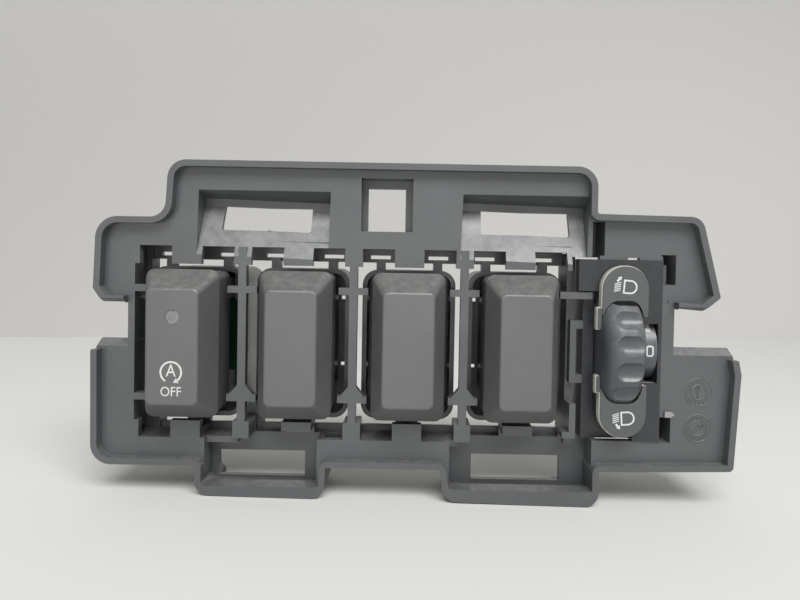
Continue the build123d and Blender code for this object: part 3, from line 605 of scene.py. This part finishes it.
def scattered(tree, points, shape, **more):
    """Copies of a shape on points."""
    values = {"Points": points, "Instance": shape, **more}
    return add_node(tree, "GeometryNodeInstanceOnPoints", values).outputs["Instances"]


def ray_tree(material):
    """Row of slanted light rays, one above the other."""
    sizes = {
        "Count": 5,
        "Pitch": 0.54 * MM,
        "Length": 1.9 * MM,
        "Width": 0.27 * MM,
        "Thickness": 0.05 * MM,
        "Slant": math.radians(-17),
    }
    tree, given, out = node_tree("light_rays", sizes)
    line = {"Count": given["Count"], "Offset": vector(tree, Z=given["Pitch"])}
    row = add_node(tree, "GeometryNodeMeshLine", line)
    size = vector(tree, X=given["Length"], Y=given["Thickness"], Z=given["Width"])
    bar = add_node(tree, "GeometryNodeMeshCube", {"Size": size})
    slant = vector(tree, Y=given["Slant"])
    rays = scattered(tree, row.outputs["Mesh"], bar.outputs["Mesh"], Rotation=slant)
    return close_tree(tree, rays, out, material)


def circle(tree, radius, corners):
    """Round curve with a number of corners."""
    values = {"Radius": radius, "Resolution": corners}
    return add_node(tree, "GeometryNodeCurvePrimitiveCircle", values).outputs["Curve"]


def ring_tree(material):
    """Round mould mark: two raised rings with ticks between them."""
    sizes = {
        "Ticks": 12,
        "Radius": 4.0 * MM,
        "Inner Radius": 2.2 * MM,
        "Line": 0.17 * MM,
        "Tick Length": 0.9 * MM,
        "Tick Width": 0.32 * MM,
        "Relief": 0.40 * MM,
    }
    tree, given, out = node_tree("mould_ring", sizes)
    join = tree.nodes.new("GeometryNodeJoinGeometry")
    for label in ("Radius", "Inner Radius"):
        curves = {"Curve": circle(tree, given[label], 64), "Profile Curve": circle(tree, given["Line"], 6)}
        sweep = add_node(tree, "GeometryNodeCurveToMesh", curves)
        set_inputs(tree, join, {"Geometry": sweep.outputs["Mesh"]})
    half_way = maths(tree, "MULTIPLY", maths(tree, "ADD", given["Radius"], given["Inner Radius"]), 0.5)
    dial = add_node(tree, "GeometryNodeMeshCircle", {"Vertices": given["Ticks"], "Radius": half_way})
    place = add_node(tree, "GeometryNodeInputPosition").outputs["Position"]
    face = add_node(tree, "FunctionNodeAlignEulerToVector", {"Vector": place}, axis="X")
    size = vector(tree, X=given["Tick Length"], Y=given["Tick Width"], Z=given["Relief"])
    tick = add_node(tree, "GeometryNodeMeshCube", {"Size": size})
    ticks = scattered(tree, dial.outputs["Mesh"], tick.outputs["Mesh"], Rotation=face.outputs["Rotation"])
    set_inputs(tree, join, {"Geometry": ticks})
    return close_tree(tree, join.outputs["Geometry"], out, material)


def random_vector(tree, low, high, seed):
    """Random vector between two limits."""
    values = {0: low, 1: high, "Seed": seed}
    return add_node(tree, "FunctionNodeRandomValue", values, data_type="FLOAT_VECTOR").outputs[0]


def burr_tree(material):
    """Small torn burrs of mould flash scattered along a straight edge."""
    tree, given, out = node_tree("edge_burrs", {"Count": 9, "Length": 20 * MM, "Size": 0.22 * MM, "Seed": 3})
    line = {"Count": given["Count"], "Offset": vector(tree, X=given["Length"])}
    row = add_node(tree, "GeometryNodeMeshLine", line, mode="END_POINTS")
    low, high = (-1.1 * MM, -0.05 * MM, -0.12 * MM), (1.1 * MM, 0.1 * MM, 0.05 * MM)
    astray = {"Geometry": row.outputs["Mesh"], "Offset": random_vector(tree, low, high, given["Seed"])}
    move = add_node(tree, "GeometryNodeSetPosition", astray)
    chip = add_node(tree, "GeometryNodeMeshIcoSphere", {"Subdivisions": 2, "Radius": given["Size"]})
    rough = add_node(tree, "ShaderNodeTexNoise", {"Scale": 5200}).outputs["Color"]
    centred = add_node(tree, "ShaderNodeVectorMath", {0: rough, 1: (0.5, 0.5, 0.5)}, operation="SUBTRACT")
    values = {0: centred.outputs[0], "Scale": given["Size"]}
    dent = add_node(tree, "ShaderNodeVectorMath", values, operation="SCALE").outputs[0]
    crumple = add_node(tree, "GeometryNodeSetPosition", {"Geometry": chip.outputs["Mesh"], "Offset": dent})
    stretch = random_vector(tree, (0.5, 0.5, 0.5), (2.4, 1.0, 1.5), given["Seed"])
    burrs = scattered(tree, move.outputs["Geometry"], crumple.outputs["Geometry"], Scale=stretch)
    return close_tree(tree, burrs, out, material)


def from_tree(name, tree, values, place):
    """Fixed piece from a node tree with its values, put in place."""
    holder = bpy.data.objects.new("holder", bpy.data.meshes.new("holder"))
    bpy.context.scene.collection.objects.link(holder)
    modifier = holder.modifiers.new("shape", "NODES")
    modifier.node_group = tree
    for item in tree.interface.items_tree:
        if item.in_out == "INPUT" and item.name in values:
            modifier[item.identifier] = values[item.name]
    mesh = plain_mesh(holder)
    mesh.transform(place)
    mesh.name = name
    return add_piece(name, mesh, FIXED)


# Operators for the finishes
class DressCarrier(bpy.types.Operator):
    """Grained dark plastic on the carrier frame"""

    bl_idname = "switch_panel.dress_carrier"
    bl_label = "Carrier frame"

    def execute(self, context):
        dress(carrier_plastic(), "carrier_frame")
        return {"FINISHED"}


# Inner walls that close the view past the switches: limits in X, Y and Z in millimetres
BAY_WALLS = (
    ((-82.3, -80.9), (2.2, 16.0), (-52.0, 3.2)),
    ((-82.3, -79.4), (10.2, 16.0), (-9.0, 3.2)),
    ((-82.3, -76.6), (10.2, 16.0), (-55.5, -45.0)),
    ((-50.6, -45.2), (10.2, 16.0), (-55.5, -45.0)),
    ((-82.3, 47.5), (11.0, 12.2), (-55.5, -51.4)),
)


class BayWalls(bpy.types.Operator):
    """Inner walls of the bays behind the plate"""

    bl_idname = "switch_panel.bay_walls"
    bl_label = "Bay walls"

    def execute(self, context):
        def walls(work):
            for limits in BAY_WALLS:
                solid_block(work, *limits)

        flat_piece("bay_walls", walls, carrier_plastic(), FIXED)
        return {"FINISHED"}


# Ring round the indicator window: radius, width and height in millimetres, and the sweep of each half in
# degrees. Its upper left half is black, a painted shadow, and its lower right half pale, a painted highlight
RIM_RADIUS = 1.66
RIM_WIDTH = 0.42
RIM_HEIGHT = 0.08
RIM_SWEEP = 170


class DressCaps(bpy.types.Operator):
    """Satin warm grey on the key and the blanking caps, the indicator window, and a ring round it with a
    painted shadow and a painted highlight
    """

    bl_idname = "switch_panel.dress_caps"
    bl_label = "Key and caps"

    def execute(self, context):
        colour = context.scene.panel_finish.cap_colour
        satin = moulded_plastic("cap_satin", colour, rough=0.42, grain=2600, depth=0.03, spread=0.06)
        dress(satin, "button_cap", "blank_1_cap", "blank_2_cap", "blank_3_cap")
        dress(smoked_lens(), "indicator_lens")
        # The ring's upper left half in black is a painted shadow; its lower right half, pale, is a painted
        # highlight
        shadow = housing_plastic()
        pale = [2.6 * part for part in colour]
        painted_highlight = moulded_plastic("rim_painted_highlight", pale, rough=0.3, grain=2600, depth=0.02)
        for name, start, material in (("painted_shadow", 60, shadow), ("rim", 245, painted_highlight)):

            def rim(work):
                line = arc(RIM_RADIUS * MM, start, start + RIM_SWEEP, 24)
                stroke_band(work, line, RIM_WIDTH * MM, RIM_HEIGHT * MM)
                put(work, Vector((LENS.x, KEY_FACE, LENS.z)))

            flat_piece(f"indicator_{name}", rim, material, KEY)
        return {"FINISHED"}


class DressHousings(bpy.types.Operator):
    """Black plastic on the switch housings and rear covers"""

    bl_idname = "switch_panel.dress_housings"
    bl_label = "Switch housings"

    def execute(self, context):
        black = housing_plastic()
        dress(black, "button_housing", "blank_1_housing", "blank_2_housing", "blank_3_housing")
        dress(black, "button_rear_cover", "level_rear_cover")
        return {"FINISHED"}


# Paint on the edges of the light guides: sides in X, and lower and upper end in Z, in millimetres
PAINT_SIDES = (54.1, 55.25)
PAINT_ENDS = {"upper": (-18.8, -12.8), "lower": (-36.95, -32.35)}

# Pale strip beside and below the drum, a painted line of light at the window's edge: limits in X, Y and Z in
# millimetres
DRUM_WINDOW_LIGHT_LINES = (
    ((72.8, 73.05), (1.1, 1.3), (-35.0, -17.6)),
    ((69.2, 72.8), (1.1, 1.3), (-35.0, -34.75)),
)


class DressLevelling(bpy.types.Operator):
    """Housing, symbol plates, light guides and thumbwheel of the levelling control, and a painted line of
    light at the drum window
    """

    bl_idname = "switch_panel.dress_levelling"
    bl_label = "Levelling control"

    def execute(self, context):
        finish = context.scene.panel_finish
        grey = moulded_plastic("control_grey", finish.control_colour, rough=0.34, grain=1800, specular=0.4)
        plate = moulded_plastic(
            "plate_satin", finish.plate_colour, rough=0.38, grain=3000, depth=0.02, spread=0.05, specular=0.6
        )
        wheel = moulded_plastic(
            "wheel_satin", finish.wheel_colour, rough=0.30, grain=3200, depth=0.015, spread=0.06, specular=0.6
        )
        cream = cream_guide("cream_guide", finish.guide_colour)
        dress(grey, "level_housing")
        dress(plate, "level_bezel_upper", "level_bezel_lower")
        dress(wheel, "thumbwheel")
        dress(cream, "level_guide_upper", "level_guide_lower")
        left, right = PAINT_SIDES
        for name, (low, high) in PAINT_ENDS.items():

            def paint(work):
                raised(work, in_metres(((left, low), (right, low), (right, high), (left, high))), PROUD)
                put(work, Vector((0, GUIDE_FACE, 0)))

            flat_piece(f"guide_paint_{name}", paint, plate, FIXED)

        # Pale strip standing in for light seen at the drum window's edge: a painted line of light
        def edge(work):
            for limits in DRUM_WINDOW_LIGHT_LINES:
                solid_block(work, *limits)

        flat_piece("drum_window_light_line", edge, cream, FIXED)
        return {"FINISHED"}


# The boards, the wiper and the detent spring keep the frame's own finish
class DressInside(bpy.types.Operator):
    """Lamps, pins, mat and light block inside the switches"""

    bl_idname = "switch_panel.dress_inside"
    bl_label = "Inner pieces"

    def execute(self, context):
        guide_colour = context.scene.panel_finish.guide_colour
        dress(lamp_resin(), "button_lamps", "level_lamp")
        dress(tinned_metal(), "button_terminals", "level_terminals")
        rubber = moulded_plastic("mat_silicone", (0.42, 0.42, 0.40), rough=0.6, grain=900, depth=0.02)
        dress(rubber, "dome_mat")
        dress(cream_guide("light_block", [1.1 * part for part in guide_colour]), "symbol_light_guide")
        return {"FINISHED"}


# Signs on the key, in millimetres: the arrow below the window, and the rest from the arrow's middle.
# The arrow's line runs between two angles in degrees
ARROW_DROP = 15.3
ARROW_START, ARROW_END = 238, -54
ARROW_HEAD = ((0.62, -2.82), (2.16, -2.96), (1.39, -1.57))
LETTER_RISE = 0.5
LETTER_SIZE = (3.4, 2.75)
WORD_PLACE = (0.05, 0, -5.31)
WORD_WIDTH = 5.66


# Operators for the signs
class KeySigns(bpy.types.Operator):
    """Circular arrow round a letter, and the word OFF, on the key"""

    bl_idname = "switch_panel.key_signs"
    bl_label = "Key signs"

    def execute(self, context):
        signs = context.scene.panel_signs
        white = sign_print()
        arrow_place = Vector((LENS.x, KEY_FACE, LENS.z - ARROW_DROP * MM))

        def arrow(work):
            stroke_band(work, arc(signs.arrow_radius, ARROW_START, ARROW_END, 56), signs.stroke, PROUD)
            raised(work, in_metres(ARROW_HEAD), PROUD)
            put(work, arrow_place)

        def letters(work):
            height, width = LETTER_SIZE
            letter_place = arrow_place + Vector((0, 0, LETTER_RISE * MM))
            add_lettering(work, lettering("A", height * MM, width * MM), letter_place, PROUD)
            word = lettering("OFF", signs.word_height, WORD_WIDTH * MM)
            add_lettering(work, word, arrow_place + Vector(WORD_PLACE) * MM, PROUD)

        flat_piece("key_arrow", arrow, white, KEY)
        flat_piece("key_letters", letters, white, KEY)
        return {"FINISHED"}


# Millimetres in X and Z for lens, rays and arrow, lean to the right in degrees, arrow up or down
SIGN_PLACES = {
    "upper": ((62.95, -6.57), (59.30, -6.55), (59.80, -4.27), 4.5, 1),
    "lower": ((63.10, -44.13), (59.70, -44.10), (60.40, -46.55), -4.0, -1),
}

# Outline of the small arrow, pointing right, and how far it turns in degrees
SMALL_ARROW = ((-0.95, -0.30), (0, -0.30), (0, -0.66), (0.95, 0), (0, 0.66), (0, 0.30), (-0.95, 0.30))
SMALL_ARROW_TURN = 48


class HeadlightSigns(bpy.types.Operator):
    """Headlight with rays on each symbol plate, with an arrow up or down"""

    bl_idname = "switch_panel.headlight_signs"
    bl_label = "Headlight signs"

    def execute(self, context):
        signs = context.scene.panel_signs
        white = sign_print()
        rays = ray_tree(white)
        ray_values = {"Count": signs.rays, "Thickness": PROUD, "Pitch": signs.ray_pitch}
        down = Matrix.Translation((0, -PROUD / 2, -signs.ray_pitch * (signs.rays - 1) / 2))
        half = (signs.lens_height - signs.stroke) / 2
        for name, (lens_at, rays_at, arrow_at, lean, way) in SIGN_PLACES.items():
            places = [Vector((x * MM, PLATE_FACE, z * MM)) for x, z in (lens_at, rays_at, arrow_at)]
            lean = math.radians(lean)

            def lens(work):
                outline = [(-half, -half), (-half, half), *arc(half, 90, -90, 24)]
                stroke_band(work, outline, 0.9 * signs.stroke, PROUD, closed=True)
                put(work, places[0], lean=lean)

            def arrow(work):
                raised(work, in_metres(SMALL_ARROW), PROUD)
                put(work, places[2], lean=-way * math.radians(SMALL_ARROW_TURN))

            flat_piece(f"headlight_{name}", lens, white, FIXED)
            flat_piece(f"headlight_arrow_{name}", arrow, white, FIXED)
            place = Matrix.Translation(places[1]) @ Matrix.Rotation(lean, 4, "Y") @ down
            from_tree(f"headlight_rays_{name}", rays, ray_values, place)
        return {"FINISHED"}


# Widths of the digits 0 to 3 and corner of the 0 in millimetres, how much bolder than plain they are,
# their slices, and the drum that they lie on
DIGIT_WIDTHS = (2.25, 1.6, 2.1, 2.1)
ZERO_CORNER = 0.55
DIGIT_WEIGHT = 0.01
DIGIT_SLICES = 12
DIGIT_X = 70.25 * MM
DRUM_RADIUS = 9.5 * MM


def slice_digit(work, height):
    """Cuts a digit into level slices so that it can bend."""
    for cut in range(1, DIGIT_SLICES):
        level = height * (cut / DIGIT_SLICES - 0.5)
        geometry = work.verts[:] + work.edges[:] + work.faces[:]
        bmesh.ops.bisect_plane(work, geom=geometry, plane_co=(0, 0, level), plane_no=(0, 0, 1))


def bend_on_drum(work, turn):
    """Bends a flat digit round the drum, at an angle from the front."""
    for vertex in work.verts:
        angle = vertex.co.z / DRUM_RADIUS + turn
        reach = DRUM_RADIUS - vertex.co.y
        vertex.co.y = WHEEL_AXIS.y - reach * math.cos(angle)
        vertex.co.z = WHEEL_AXIS.z + reach * math.sin(angle)
        vertex.co.x += DIGIT_X


class DrumDigits(bpy.types.Operator):
    """Numbers 0 to 3 bent round the drum of the thumbwheel"""

    bl_idname = "switch_panel.drum_digits"
    bl_label = "Drum digits"

    def execute(self, context):
        signs = context.scene.panel_signs
        white = sign_print()
        height = signs.digit_height
        for number, width in enumerate(DIGIT_WIDTHS):

            def digit(work):
                if number:
                    shape = lettering(str(number), height, width * MM, DIGIT_WEIGHT)
                    add_lettering(work, shape, Vector((0, 0, 0)), PROUD)
                else:
                    sides = (width * MM - signs.stroke, height - signs.stroke)
                    outline = rounded_oblong(*sides, ZERO_CORNER * MM)
                    stroke_band(work, outline, signs.stroke, PROUD, closed=True)
                slice_digit(work, height)
                bend_on_drum(work, number * signs.digit_step)

            flat_piece(f"drum_digit_{number}", digit, white, WHEEL)
        return {"FINISHED"}


# Mould marks
# Start of each row of burrs in millimetres, its length, their number and their size
BURRS = (
    ((-47.1, 3.5, 8.05), 4.4, 2, 0.28),
    ((-24.7, -2.8, 27.3), 21, 8, 0.12),
    ((-41.8, -2.9, -68.5), 3.5, 2, 0.20),
    ((92.3, -2.9, -54.7), 0.5, 1, 0.16),
    ((87.1, -2.9, -58.8), 0.8, 1, 0.16),
    ((94.4, -2.8, -58.6), 0.4, 1, 0.25),
)
BURR_SEED = 5

# Mould rings on the right lobe: X, and for each its Z, its pointer's lean in degrees and half its length
RING_X = 85.2
RINGS = {"upper": (-37.2, 0, 1.6), "lower": (-47.8, 55, 1.7)}
RING_SINK = 0.02
POINTER_WIDTH = 0.36
POINTER_HEIGHT = 0.22

# Half the width of a pointer's barb, and its length, in millimetres
BARB = (0.8, 1.0)

# Front of the pointed catch lug beside the levelling control, in millimetres; its pale face is a painted
# highlight
LUG_OUTLINE = ((75.35, -44.65), (77.2, -44.65), (78.2, -43.8), (77.2, -42.95), (75.35, -42.95))
LUG_FRONT = -0.6


class MouldMarks(bpy.types.Operator):
    """Plain mould rings on the right lobe, burrs of flash round the windows, and a painted highlight on the
    catch lug
    """

    bl_idname = "switch_panel.mould_marks"
    bl_label = "Mould marks"

    def execute(self, context):
        colour = context.scene.panel_finish.frame_colour
        ticks = context.scene.panel_signs.ring_ticks
        plastic = carrier_plastic()
        # Pale plastic for the burrs of flash, and for the lug's face, where it is a painted highlight
        pale = moulded_plastic("flash_and_lug_highlight", [0.5 * part + 0.22 for part in colour], rough=0.5)
        rings = ring_tree(plastic)
        upright = Matrix.Rotation(math.radians(90), 4, "X")
        for (name, (z, _, _)), count in zip(RINGS.items(), (ticks, ticks // 2 * 3)):
            place = Matrix.Translation(Vector((RING_X, RING_SINK, z)) * MM) @ upright
            from_tree(f"mould_ring_{name}", rings, {"Ticks": count}, place)

        def pointers(work):
            side, back = BARB
            for z, lean, reach in RINGS.values():
                since = len(work.verts)
                for line in (
                    ((0, -reach), (0, reach)),
                    ((-side, reach - back), (0, reach), (side, reach - back)),
                ):
                    stroke_band(work, in_metres(line), POINTER_WIDTH * MM, POINTER_HEIGHT * MM)
                put(work, Vector((RING_X, 0, z)) * MM, since, math.radians(lean))

        def lug_face(work):
            raised(work, in_metres(LUG_OUTLINE), PROUD)
            put(work, Vector((0, LUG_FRONT * MM, 0)))

        flat_piece("mould_pointers", pointers, plastic, FIXED)
        # The lug's pale face is a painted highlight
        flat_piece("lug_painted_highlight", lug_face, pale, FIXED)
        burrs = burr_tree(pale)
        for index, (place, length, count, size) in enumerate(BURRS):
            values = {"Count": count, "Length": length * MM, "Seed": BURR_SEED + index, "Size": size * MM}
            start = Matrix.Translation(Vector(place) * MM)
            from_tree(f"flash_{index}", burrs, values, start)
        return {"FINISHED"}


# Feet of the two lower tabs, on which the panel stands
FLOOR_LEFT = Vector((-27.8, 0, -69.68)) * MM
FLOOR_RIGHT = Vector((51.7, 0, -70.64)) * MM

# Half the side of floor and wall, how far back the wall stands, and how far it is turned
STAGE_HALF = 1.5
WALL_BACK = 0.37
WALL_TURN = math.radians(13)

# Place, aim and size of the lamps
KEY_LAMP = ((0.20, -0.80, 0.90), (0, 0, -0.02), (1.2, 0.6))
FILL_LAMP = ((-0.10, -0.60, -0.01), (-0.02, 0, -0.02), (0.6, 0.08))

# Colour that the room shows in the picture and in gloss
ROOM_SEEN = (0.54, 0.53, 0.51, 1)

# Camera: lens in millimetres, shift, place, and how far it looks down and is rolled in degrees
CAMERA_LENS = 27
CAMERA_SHIFT = (-0.0103, -0.0343)
CAMERA_PLACE = (-0.35 * MM, -0.175, 0)
CAMERA_DOWN = 1.2
CAMERA_ROLL = 1.05


# Stage
def stage_material(name, colour, scale, painted_shade=1.0):
    """Painted board for floor and wall, with faint unevenness, and painted shade that makes it dimmer towards
    the upper left.
    """
    material, tree, shader, place = start_material(name)
    plain = shades(tree, place, colour, 0.985, 1.015, scale)
    rise = add_node(tree, "ShaderNodeVectorMath", {0: place, 1: (-0.35, 0, 1)}, operation="DOT_PRODUCT")
    painted_shade_share = ranged(tree, rise.outputs["Value"], -0.25, 0.30, most=painted_shade, interpolation="SMOOTHSTEP")
    looks = {
        "Base Color": mixed(tree, painted_shade_share, plain, shade(colour, 0.6)),
        "Roughness": 0.75,
        "Specular IOR Level": 0.2,
    }
    set_inputs(tree, shader, looks)
    return material


def stage_board(name, corners, place, material):
    """One board of the stage."""
    mesh = bpy.data.meshes.new(name)
    mesh.from_pydata(corners, [], [(0, 1, 2, 3)])
    mesh.transform(place)
    mesh.materials.append(material)
    piece = bpy.data.objects.new(name, mesh)
    bpy.context.scene.collection.objects.link(piece)


def floor_and_wall(stage):
    """Floor under the two tabs, and the wall behind."""
    along = (FLOOR_RIGHT - FLOOR_LEFT).normalized()
    level = Matrix.Rotation(-math.atan2(along.z, along.x), 4, "Y")
    ground = Matrix.Translation((FLOOR_LEFT + FLOOR_RIGHT) / 2) @ level
    upright = ground @ Matrix.Translation((0, WALL_BACK, 0)) @ Matrix.Rotation(WALL_TURN, 4, "Z")
    half = STAGE_HALF
    floor = [(-half, -half, 0), (half, -half, 0), (half, half, 0), (-half, half, 0)]
    wall = [(-half, 0, -0.01), (half, 0, -0.01), (half, 0, half), (-half, 0, half)]
    # Only the wall gets painted shade, darker towards its upper left
    stage_board("floor", floor, ground, stage_material("floor_board", stage.floor_colour, 3, painted_shade=0.0))
    stage_board("wall", wall, upright, stage_material("wall_board", stage.wall_colour, 2, painted_shade=0.75))


def area_lamp(name, place, target, size, power):
    """Soft oblong lamp that looks at a point."""
    lamp = bpy.data.lights.new(name, "AREA")
    lamp.shape = "RECTANGLE"
    lamp.size, lamp.size_y = size
    lamp.energy = power
    holder = bpy.data.objects.new(name, lamp)
    bpy.context.scene.collection.objects.link(holder)
    holder.location = place
    holder.rotation_euler = (Vector(target) - Vector(place)).to_track_quat("-Z", "Y").to_euler()


def room(strength):
    """Even light of the room, which the picture and gloss see paler."""
    world = bpy.data.worlds.new("room")
    bpy.context.scene.world = world
    world.use_nodes = True
    tree = world.node_tree
    even = tree.nodes["Background"]
    set_inputs(tree, even, {"Color": (1.0, 1.0, 1.0, 1), "Strength": strength})
    pale = add_node(tree, "ShaderNodeBackground", {"Color": ROOM_SEEN, "Strength": 1.0})
    rays = add_node(tree, "ShaderNodeLightPath").outputs
    seen = maths(tree, "MAXIMUM", rays["Is Camera Ray"], rays["Is Glossy Ray"])
    seen = maths(tree, "MAXIMUM", seen, rays["Is Transmission Ray"])
    both = {0: seen, 1: even.outputs["Background"], 2: pale.outputs["Background"]}
    mix = add_node(tree, "ShaderNodeMixShader", both)
    set_inputs(tree, tree.nodes["World Output"], {"Surface": mix.outputs["Shader"]})


def add_camera():
    """Camera close in front of the panel."""
    camera = bpy.data.cameras.new("camera")
    camera.sensor_width = 36
    camera.lens = CAMERA_LENS
    camera.shift_x, camera.shift_y = CAMERA_SHIFT
    camera.clip_start = 0.01
    camera.clip_end = 20
    holder = bpy.data.objects.new("camera", camera)
    bpy.context.scene.collection.objects.link(holder)
    down = Matrix.Rotation(math.radians(90 - CAMERA_DOWN), 4, "X")
    roll = Matrix.Rotation(math.radians(CAMERA_ROLL), 4, "Z")
    holder.matrix_world = Matrix.Translation(CAMERA_PLACE) @ down @ roll
    bpy.context.scene.camera = holder


class Studio(bpy.types.Operator):
    """Floor, wall, lamps, room light and camera"""

    bl_idname = "switch_panel.studio"
    bl_label = "Studio"

    def execute(self, context):
        stage = context.scene.panel_stage
        floor_and_wall(stage)
        area_lamp("key_lamp", *KEY_LAMP, stage.key_lamp)
        area_lamp("fill_lamp", *FILL_LAMP, stage.fill_lamp)
        room(stage.room_light)
        add_camera()
        context.scene.view_settings.view_transform = "Standard"
        return {"FINISHED"}


class SwitchPanelSidebar(bpy.types.Panel):
    """Lists the settings and the steps of the panel"""

    bl_idname = "VIEW3D_PT_switch_panel"
    bl_label = "Switch panel"
    bl_space_type = "VIEW_3D"
    bl_region_type = "UI"
    bl_category = "Switch panel"

    def draw(self, context):
        scene = context.scene
        for group in (scene.panel_finish, scene.panel_signs, scene.panel_stage):
            box = self.layout.box()
            for label in group.__annotations__:
                box.prop(group, label)
        for step in STEPS:
            self.layout.operator(step.bl_idname)


STEPS = (
    DressCarrier,
    BayWalls,
    DressCaps,
    DressHousings,
    DressLevelling,
    DressInside,
    KeySigns,
    HeadlightSigns,
    DrumDigits,
    MouldMarks,
    Studio,
)
SETTINGS = {"panel_finish": PanelFinish, "panel_signs": PanelSigns, "panel_stage": PanelStage}


def register():
    """Adds the settings, the operators and the sidebar panel."""
    for label, group in SETTINGS.items():
        bpy.utils.register_class(group)
        setattr(bpy.types.Scene, label, PointerProperty(type=group))
    for step in STEPS:
        bpy.utils.register_class(step)
    bpy.utils.register_class(SwitchPanelSidebar)


def unregister():
    """Removes what register adds."""
    bpy.utils.unregister_class(SwitchPanelSidebar)
    for step in reversed(STEPS):
        bpy.utils.unregister_class(step)
    for label, group in SETTINGS.items():
        delattr(bpy.types.Scene, label)
        bpy.utils.unregister_class(group)


def main():
    """Dresses the frame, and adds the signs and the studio."""
    register()
    steps = bpy.ops.switch_panel
    steps.dress_carrier()
    steps.bay_walls()
    steps.dress_caps()
    steps.dress_housings()
    steps.dress_levelling()
    steps.dress_inside()
    steps.key_signs()
    steps.headlight_signs()
    steps.drum_digits()
    steps.mould_marks()
    steps.studio()


if __name__ == "__main__":
    main()
